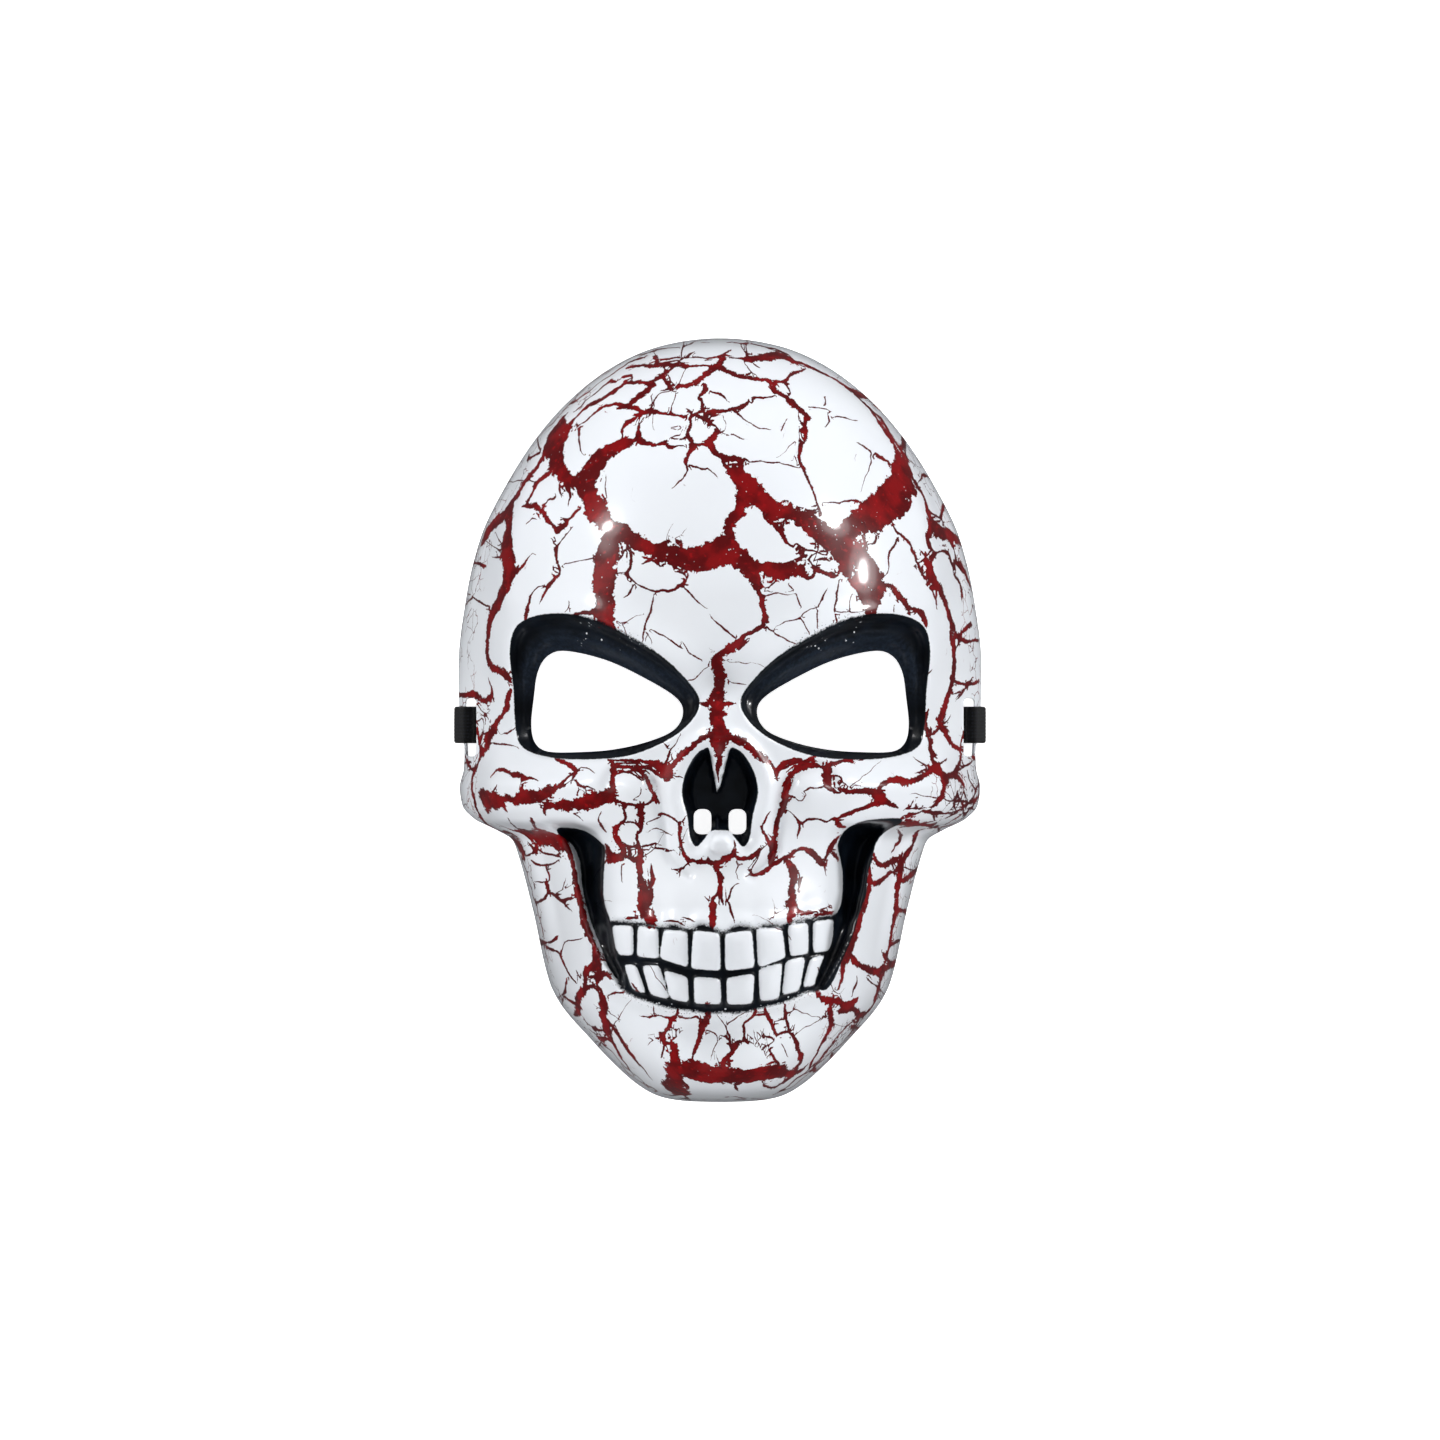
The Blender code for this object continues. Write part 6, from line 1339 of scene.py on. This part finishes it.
def printed_lines():
    """All the crack lines: the chart's, made jagged, and seeded finer ones.

    Hairlines leave the charted cracks sideways. Side lines crowd the steep sides and the crown, and
    loose hairlines lie anywhere.
    """
    lines = [jagged(line, 1, 0.1) for line in CRACKS]
    places = np.concatenate([line[:-1, :2] for line in lines])
    runs = np.concatenate([np.diff(line[:, :2], axis=0) for line in lines])
    share = np.hypot(*runs.T) / np.hypot(*runs.T).sum()
    for k in random.choice(len(places), HAIRLINES, p=share):
        heading = np.arctan2(runs[k, 1], runs[k, 0]) + random.choice((-1.0, 1.0)) * random.uniform(0.8, 1.7)
        lines += forked(places[k], heading, random.uniform(5, 20), random.uniform(0.3, 0.6))
    for _ in range(SIDE_LINES):
        y = random.uniform(-100.0, 119.0)
        x = random.choice((-1.0, 1.0)) * random.uniform(0.74, 0.98) * half_width(y)
        if y > 96.0:
            x *= random.uniform(0.0, 1.0)
        lines += forked((x, y), random.uniform(0, 2 * np.pi), random.uniform(4, 13), random.uniform(0.4, 1.1))
    for _ in range(LOOSE_LINES):
        y = random.uniform(-115.0, 118.0)
        x = random.uniform(-0.8, 0.8) * half_width(y)
        heading = random.uniform(0, 2 * np.pi)
        length, width = random.uniform(6, 17), random.uniform(0.25, 0.4)
        lines += forked((x, y), heading, length, width)
    return lines


def measure_cracks(points, lines):
    """For each point, from its nearest crack: distance past its edge, signed distance, half width.

    Distances are in space between the point and the crack's straight runs, laid on the face. A
    width was measured in plan, where its ragged edge adds a little, so a crack is narrowed by 0.3 mm
    or a tenth. Its half is then the root of its own square and of half the face's rise from one edge
    to the other, squared, but no more than 2.2 times itself.
    """
    gap = np.full(len(points), FAR)
    side = np.full(len(points), FAR)
    half = np.zeros(len(points))
    for line in lines:
        x, y, width = line.T
        z = face_height(x, y)
        run = np.gradient(line[:, :2], axis=0)
        cross = np.stack([-run[:, 1], run[:, 0]], axis=1)
        cross /= np.maximum(np.linalg.norm(cross, axis=1, keepdims=True), 1e-6)
        lane = 0.5 * np.maximum(width - 0.3, 0.9 * width)
        step_x, step_y = lane * cross[:, 0], lane * cross[:, 1]
        rise = face_height(x + step_x, y + step_y) - face_height(x - step_x, y - step_y)
        lane = np.minimum(np.hypot(lane, 0.5 * rise), 2.2 * lane)
        route = np.stack([x, y, z], axis=1)
        reach = FAR + lane.max()
        near = np.flatnonzero(((points > route.min(0) - reach) & (points < route.max(0) + reach)).all(1))
        start, step = route[:-1], np.diff(route, axis=0)
        offset = points[near][:, None] - start
        t = np.clip((offset * step).sum(-1) / np.maximum((step**2).sum(-1), 1e-9), 0.0, 1.0)
        away = np.linalg.norm(offset - t[..., None] * step, axis=-1)
        halves = lane[:-1] + (lane[1:] - lane[:-1]) * t
        past = away - halves
        k = past.argmin(1)
        pick = np.arange(len(near))
        left = np.sign(step[:, 0] * offset[..., 1] - step[:, 1] * offset[..., 0])[pick, k]
        nearer = past[pick, k] < gap[near]
        here = near[nearer]
        gap[here] = past[pick, k][nearer]
        side[here] = (away[pick, k] * left)[nearer]
        half[here] = halves[pick, k][nearer]
    return gap, side, half


crack_gap, crack_side, crack_half = measure_cracks(flat_outer, printed_lines())
for x, y, wide, tall in ISLANDS:
    island = 1.0 - np.hypot((flat_outer[:, 0] - x) / wide, (flat_outer[:, 1] - y) / tall)
    crack_gap = np.maximum(crack_gap, island * min(wide, tall))

# Black: sprayed through a mask into the eye sockets, the nose, the cheek hollows and the gaps
# between the teeth, with soft speckled edges over the brow and gum and crisp ones in the grooves.
HOLLOW_LEFT = (
    (-53, -35.2), (-50, -35), (-47, -35.2), (-44, -36), (-41, -37.7), (-38.5, -39.8), (-37.2, -41.5),
    (-37.5, -48), (-37.8, -53), (-37.7, -57), (-37, -61), (-35.8, -64), (-34.9, -69), (-34.2, -73),
    (-32.2, -76.5), (-31, -79), (-30.3, -82), (-29.9, -85), (-31.5, -85.7), (-33.5, -84), (-36, -80.5),
    (-37.5, -77), (-39, -73), (-40.5, -69.5), (-42, -65.5), (-43.3, -61), (-44.3, -57), (-45, -53),
    (-45.3, -49), (-45.9, -45), (-47.5, -41.5), (-49.8, -39), (-52.5, -37.2),
)
HOLLOW_RIGHT = (
    (40, -36.3), (43, -34), (47, -32.6), (52, -32), (58.5, -31.9), (59, -33.4), (55.2, -35.4), (52.5, -37.5),
    (50.8, -40), (50, -43), (49.3, -46), (48.3, -49), (47.8, -53), (47.5, -57), (46.3, -60), (45, -64),
    (43.8, -68), (42.3, -72), (40.5, -76), (38.8, -80), (36.5, -85), (34, -87.6), (31, -86.6), (31, -84),
    (33.5, -77), (35.5, -74), (36.6, -70), (36.8, -65.5), (38, -62.5), (39.2, -60), (39.8, -55), (39.8, -50),
    (39.3, -46.5), (38.5, -43), (38.2, -40),
)


def black_paint(x, y):
    """Distance inside the black, and how soft its edge is there, both in mm.

    Inside is the largest of the distances inside the sockets, the nose less its blade and ball, the
    cheek hollows, and the mouth less its teeth, which reaches 0.7 mm further at the lower gum.
    """
    crisp, off_edge, gum_more, fuzz = 0.3, 0.2, 0.7, 0.8
    side = np.abs(x)
    socket = depth_inside(SOCKET_LINE, side, y)
    foot = BLADE_FOOT - off_edge
    share = np.clip((y - foot) / (BLADE_TALL + off_edge), 0.0, 1.0)
    off_blade = off_blade_line(x, share) - BLADE_HALF * share
    off_blade = np.where(y > foot, off_blade, np.hypot(off_blade_line(x, 0.0), y - foot))
    off_ball = np.hypot(x - BALL_X, y - BALL_Y) - BALL_RADIUS + 0.1
    nose_black = np.minimum(depth_inside(NOSE_LINE, x, y), np.minimum(off_blade, off_ball))
    hollow_lines = (spline(line, 4, closed=True) for line in (HOLLOW_LEFT, HOLLOW_RIGHT))
    hollow = np.maximum(*(depth_inside(line, x, y) for line in hollow_lines))
    window = depth_inside(MOUTH_LINE, x, y)
    mouth = np.minimum(window + gum_more * smoothstep(-70.0, -84.0, y), -in_tooth(x, y))
    sprayed_brow = fuzz * smoothstep(20.0, 26.0, y) * smoothstep(52.0, 40.0, side)
    fuzzy_gum = fuzz * smoothstep(1.6, 0.0, window)
    soft = np.stack([crisp + sprayed_brow, np.full_like(x, 0.25), np.full_like(x, crisp), crisp + fuzzy_gum])
    parts = np.stack([socket, nose_black, hollow, mouth])
    return parts.max(0), np.take_along_axis(soft, parts.argmax(0)[None], 0)[0]


black_in, black_soft = black_paint(flat_outer[:, 0], flat_outer[:, 1])
NET_PATCHES = (
    # X, Y, reach, strength
    (76, -24, 9, 0.8), (40, -104, 9, 0.7), (-82, -25, 5, 0.6), (-45, 108, 7, 0.6),
)
NET_AT_RIM = 0.45
# Painted sheen in each eye socket's upper half: a paler blue-black band beside the eye hole, and a thin
# painted highlight line along the ledge further out.
SHEEN_BAND_WIDTH, LEDGE_HIGHLIGHT_AT = (4.4, 6.0), 6.3
face_x, face_y = flat_outer[:, 0], flat_outer[:, 1]
fine_net = np.max([
    strong * hump(np.hypot(face_x - x, face_y - y), reach) for x, y, reach, strong in NET_PATCHES
] + [NET_AT_RIM * smoothstep(0.9, 0.97, share_across(face_x, face_y))], axis=0)
# Where the socket's painted sheen band and painted highlight line lie.
past_hole = from_hole.ravel()
sheen_share = 1.0 - smoothstep(*SHEEN_BAND_WIDTH, past_hole) + 0.5 * hump(past_hole - LEDGE_HIGHLIGHT_AT, 0.5)
socket_sheen = sheen_share * smoothstep(3.0, 15.0, face_y) * smoothstep(70.0, 62.0, np.abs(face_x))
WHITE_COOL, WHITE = (0.80, 0.83, 0.88, 1.0), (0.86, 0.885, 0.92, 1.0)
RED_DEEP, RED = (0.10, 0.0015, 0.0025, 1.0), (0.225, 0.0025, 0.004, 1.0)
RED_BRIGHT = (0.36, 0.004, 0.006, 1.0)
RED_FRINGE, RED_THIN = (0.045, 0.002, 0.004, 1.0), (0.07, 0.003, 0.005, 1.0)
# The second, paler bluish black is a painted sheen, laid in cloudy patches.
BLACK, BLACK_SHEEN = (0.001, 0.0016, 0.0032, 1.0), (0.0035, 0.006, 0.011, 1.0)
# The paler blue-black of that band is a painted sheen.
BLACK_LEDGE_SHEEN = (0.012, 0.019, 0.032, 1.0)


def shell_finish():
    """Glossy white plastic, the red crackle printed on it, black paint sprayed over both, and painted sheen
    and glints on the black.
    """
    finish = Finish("white_plastic_crackle")
    place = finish.millimetres()
    broad, mid, fine = finish.noise(place, 5.0), finish.noise(place, 1.6), finish.noise(place, 0.55)
    gap, side, half = (finish.attribute(n) for n in ("crack_gap", "crack_side", "crack_half"))
    outside = 1.0 - finish.attribute("inner_face")
    thin = abs(side) - half
    edge = gap.low(thin.high(gap - 0.7))
    tear = (half / 1.1).low(1.5)
    coarse_tear = tear * ((broad - 0.5) * 1.2 + (mid - 0.5) * 1.9)
    ragged = edge + coarse_tear + (0.12 + tear * 0.6) * (fine - 0.5) * 1.4
    red = 1.0 - ragged.rises(-0.06, 0.06)
    fringe = red * ragged.rises(-0.7, -0.1) * mid.rises(0.42, 0.6)
    dots = finish.cells(place, 1.7) + (1.0 - mid) * 0.3
    fleck = (1.0 - dots.rises(0.2, 0.29)) * (1.0 - ragged.rises(-1.2, -0.6)) * broad.rises(0.48, 0.58)
    stir = finish.node("ShaderNodeTexNoise", {}, {"Vector": place, "Scale": 0.4}, output="Color")
    swirl = finish.node("ShaderNodeVectorMath", {"operation": "MULTIPLY_ADD"}, {
        0: stir, 1: (2.2, 2.2, 2.2), 2: place})
    patch = finish.attribute("fine_net")
    net_edge = finish.cells(swirl, 5.2, "DISTANCE_TO_EDGE") - 0.02 * patch - 0.03 * (broad - 0.45)
    clumps = finish.noise(place, 9.0)
    net = (1.0 - net_edge.rises(0.0, 0.02)) * (patch + (clumps - 0.5) * 1.6).rises(0.3, 0.42)
    white = finish.mix(finish.noise(place, 40.0), WHITE_COOL, WHITE)
    murk = finish.noise(place, 9.0, 3.0)
    tone = finish.mix(murk.rises(0.42, 0.6), RED_DEEP, RED)
    tone = finish.mix(mid.rises(0.58, 0.72) * 0.7, tone, RED_BRIGHT)
    tone = finish.mix(fringe * 0.85, tone, RED_FRINGE)
    small_dark = 1.0 - half.rises(0.2, 0.85)
    tone = finish.mix(small_dark * 0.8, tone, RED_THIN)
    colour = finish.mix((red * (1.0 - fleck)).high(net * 0.85) * outside, white, tone)
    soft = finish.attribute("black_soft")
    sprayed = (finish.attribute("black_in") + soft * ((mid - 0.5) * 1.0 + (fine - 0.5) * 1.4)) / soft
    black = sprayed.rises(-0.45, 0.45)
    spray = soft.rises(0.5, 0.9)
    speck = (1.0 - finish.cells(place, 0.9).rises(0.12, 0.3)) * sprayed.rises(-2.2, -0.6) * spray
    # Painted glints: small white dots in the black where its edge is sprayed soft.
    glint_dot = (1.0 - finish.cells(place, 2.0).rises(0.12, 0.18)) * spray * mid.rises(0.45, 0.5)
    black = black.high(speck * 0.8) * (1.0 - glint_dot) * outside
    # Painted sheen: the black turns paler and bluish in cloudy patches.
    sheen = finish.noise(place, 9.0)
    scratch = finish.noise(place, 1.1, 3.0, 0.6)
    paint = finish.mix(sheen.rises(0.35, 0.7), BLACK, BLACK_SHEEN)
    # Painted sheen and highlight on the socket's upper ledge, streaked by the scratch noise.
    ledge_sheen = finish.attribute("socket_sheen") * (0.45 + scratch.rises(0.4, 0.65) * 0.8)
    paint = finish.mix(ledge_sheen, paint, BLACK_LEDGE_SHEEN)
    colour = finish.mix(black, colour, paint)
    rough = 0.2 + red * 0.08 + black * 0.14 + fine * 0.05
    grain = finish.noise(place, 3.0) * 0.5 + red * 0.35 + black * 0.3 * fine
    finish.wire(Base_Color=colour, Roughness=rough, Normal=finish.bump(grain, 0.05))
    finish.shader.inputs["Specular IOR Level"].default_value = 0.2
    finish.shader.inputs["Coat Weight"].default_value = 0.6
    finish.shader.inputs["Coat Roughness"].default_value = 0.1
    return finish.material


shell = new_mesh("mask_shell_moulding", shell_points[used], [shell_faces], shell_finish())
ring_tail = np.concatenate([edge_points] * len(EDGE_RINGS))
source = np.concatenate([np.arange(points_in_face), np.arange(points_in_face), ring_tail])[used]
inner_face = np.concatenate([
    np.zeros(points_in_face), np.ones(points_in_face), np.repeat(EDGE_INNER, len(edge_points))])[used]
for name, values in (
    ("crack_gap", crack_gap[source]), ("crack_side", crack_side[source]), ("crack_half", crack_half[source]),
    ("black_in", black_in[source]), ("black_soft", black_soft[source]), ("fine_net", fine_net[source]),
    ("socket_sheen", socket_sheen[source]), ("inner_face", inner_face),
):
    shell.data.attributes.new(name, "FLOAT", "POINT").data.foreach_set("value", values.astype(np.float32))
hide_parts("mask_shell")
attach(shell, "root")

# Studio: a plain pale floor that glows evenly, a soft box and a wide sky panel over the face, and a
# wall of soft light on each of its four sides. The gleam and glow lamps are seen only in the gloss,
# and the small ones are set where each mirrors off one place on the brow.
floor_finish = Finish("pale_floor")
floor_finish.wire(Base_Color=(0.9, 0.9, 0.9, 1.0), Roughness=0.9, Emission_Color=(1.0, 1.0, 1.0, 1.0))
floor_finish.shader.inputs["Emission Strength"].default_value = 0.85
floor_points = np.array([(-1, -1, 0), (1, -1, 0), (1, 1, 0), (-1, 1, 0)]) * 6000.0 - (0.0, 0.0, 0.05)
floor = new_mesh("floor", floor_points, [np.array([[0, 1, 2, 3]])], floor_finish.material)
floor.visible_glossy = False
floor.visible_diffuse = False


def lamp(name, place, aim, size, watts, gleams, shape="SQUARE"):
    """An area light turned to an aim. One that gleams shows only in the gloss, the others never there."""
    data = bpy.data.lights.new(name, "AREA")
    data.shape, data.size, data.energy = shape, size, watts
    light = bpy.data.objects.new(name, data)
    light.location = place
    light.rotation_euler = (Vector(aim) - Vector(place)).to_track_quat("-Z", "Y").to_euler()
    light.visible_glossy, light.visible_diffuse = gleams, not gleams
    light.visible_camera = False
    bpy.context.scene.collection.objects.link(light)


FACE = (0.0, 0.0, 0.04)
LAMPS = (
    # name, place, size, watts, whether it gleams
    ("soft_box", (0.0, 0.1, 2.2), 1.6, 13.5, False), ("sky_panel", (0.0, 0.0, 3.0), 8.0, 55.0, False),
    ("left_wall", (-2.3, 0.2, 0.35), 1.8, 46.0, False), ("right_wall", (2.3, 0.2, 0.35), 1.8, 50.0, False),
    ("crown_wall", (0.0, 2.5, 0.3), 1.8, 60.0, False), ("chin_wall", (0.0, -2.5, 0.35), 1.8, 40.0, False),
    ("sky_gleam", (0.0, 0.3, 4.0), 3.0, 0.8, True), ("left_gleam", (-2.2, 0.3, 1.0), 1.2, 2.0, True),
    ("right_gleam", (2.2, 0.3, 1.0), 1.2, 2.0, True),
)
for name, place, size, watts, gleams in LAMPS:
    lamp(name, place, FACE, size, watts, gleams)
GLEAM_SPOTS = ((-36.9, 62.6), (36.9, 63.9), (46.3, 47.9))
GLEAM_FAR, GLOW_FAR = 1.2, 1.25
SLOPE_STEP = 0.5
for number, (x, y) in enumerate(GLEAM_SPOTS):
    z = face_height(np.array([x, x + SLOPE_STEP, x]), np.array([y, y, y + SLOPE_STEP]), fine=False)
    facing = np.array([-(z[1] - z[0]) / SLOPE_STEP, -(z[2] - z[0]) / SLOPE_STEP, 1.0])
    facing /= np.linalg.norm(facing)
    mirrored = 2.0 * facing[2] * facing - (0.0, 0.0, 1.0)
    spot = np.array([x, y, z[0]]) * MM
    lamp(f"gleam_{number}", tuple(spot + GLEAM_FAR * mirrored), tuple(spot), 0.13, 2.4, True, "DISK")
    lamp(f"glow_{number}", tuple(spot + GLOW_FAR * mirrored), tuple(spot), 0.4, 1.8, True, "DISK")

world = bpy.data.worlds.new("studio")
world.use_nodes = True
world.node_tree.nodes["Background"].inputs["Color"].default_value = (0.9, 0.95, 1.0, 1.0)
world.node_tree.nodes["Background"].inputs["Strength"].default_value = 0.07
bpy.context.scene.world = world
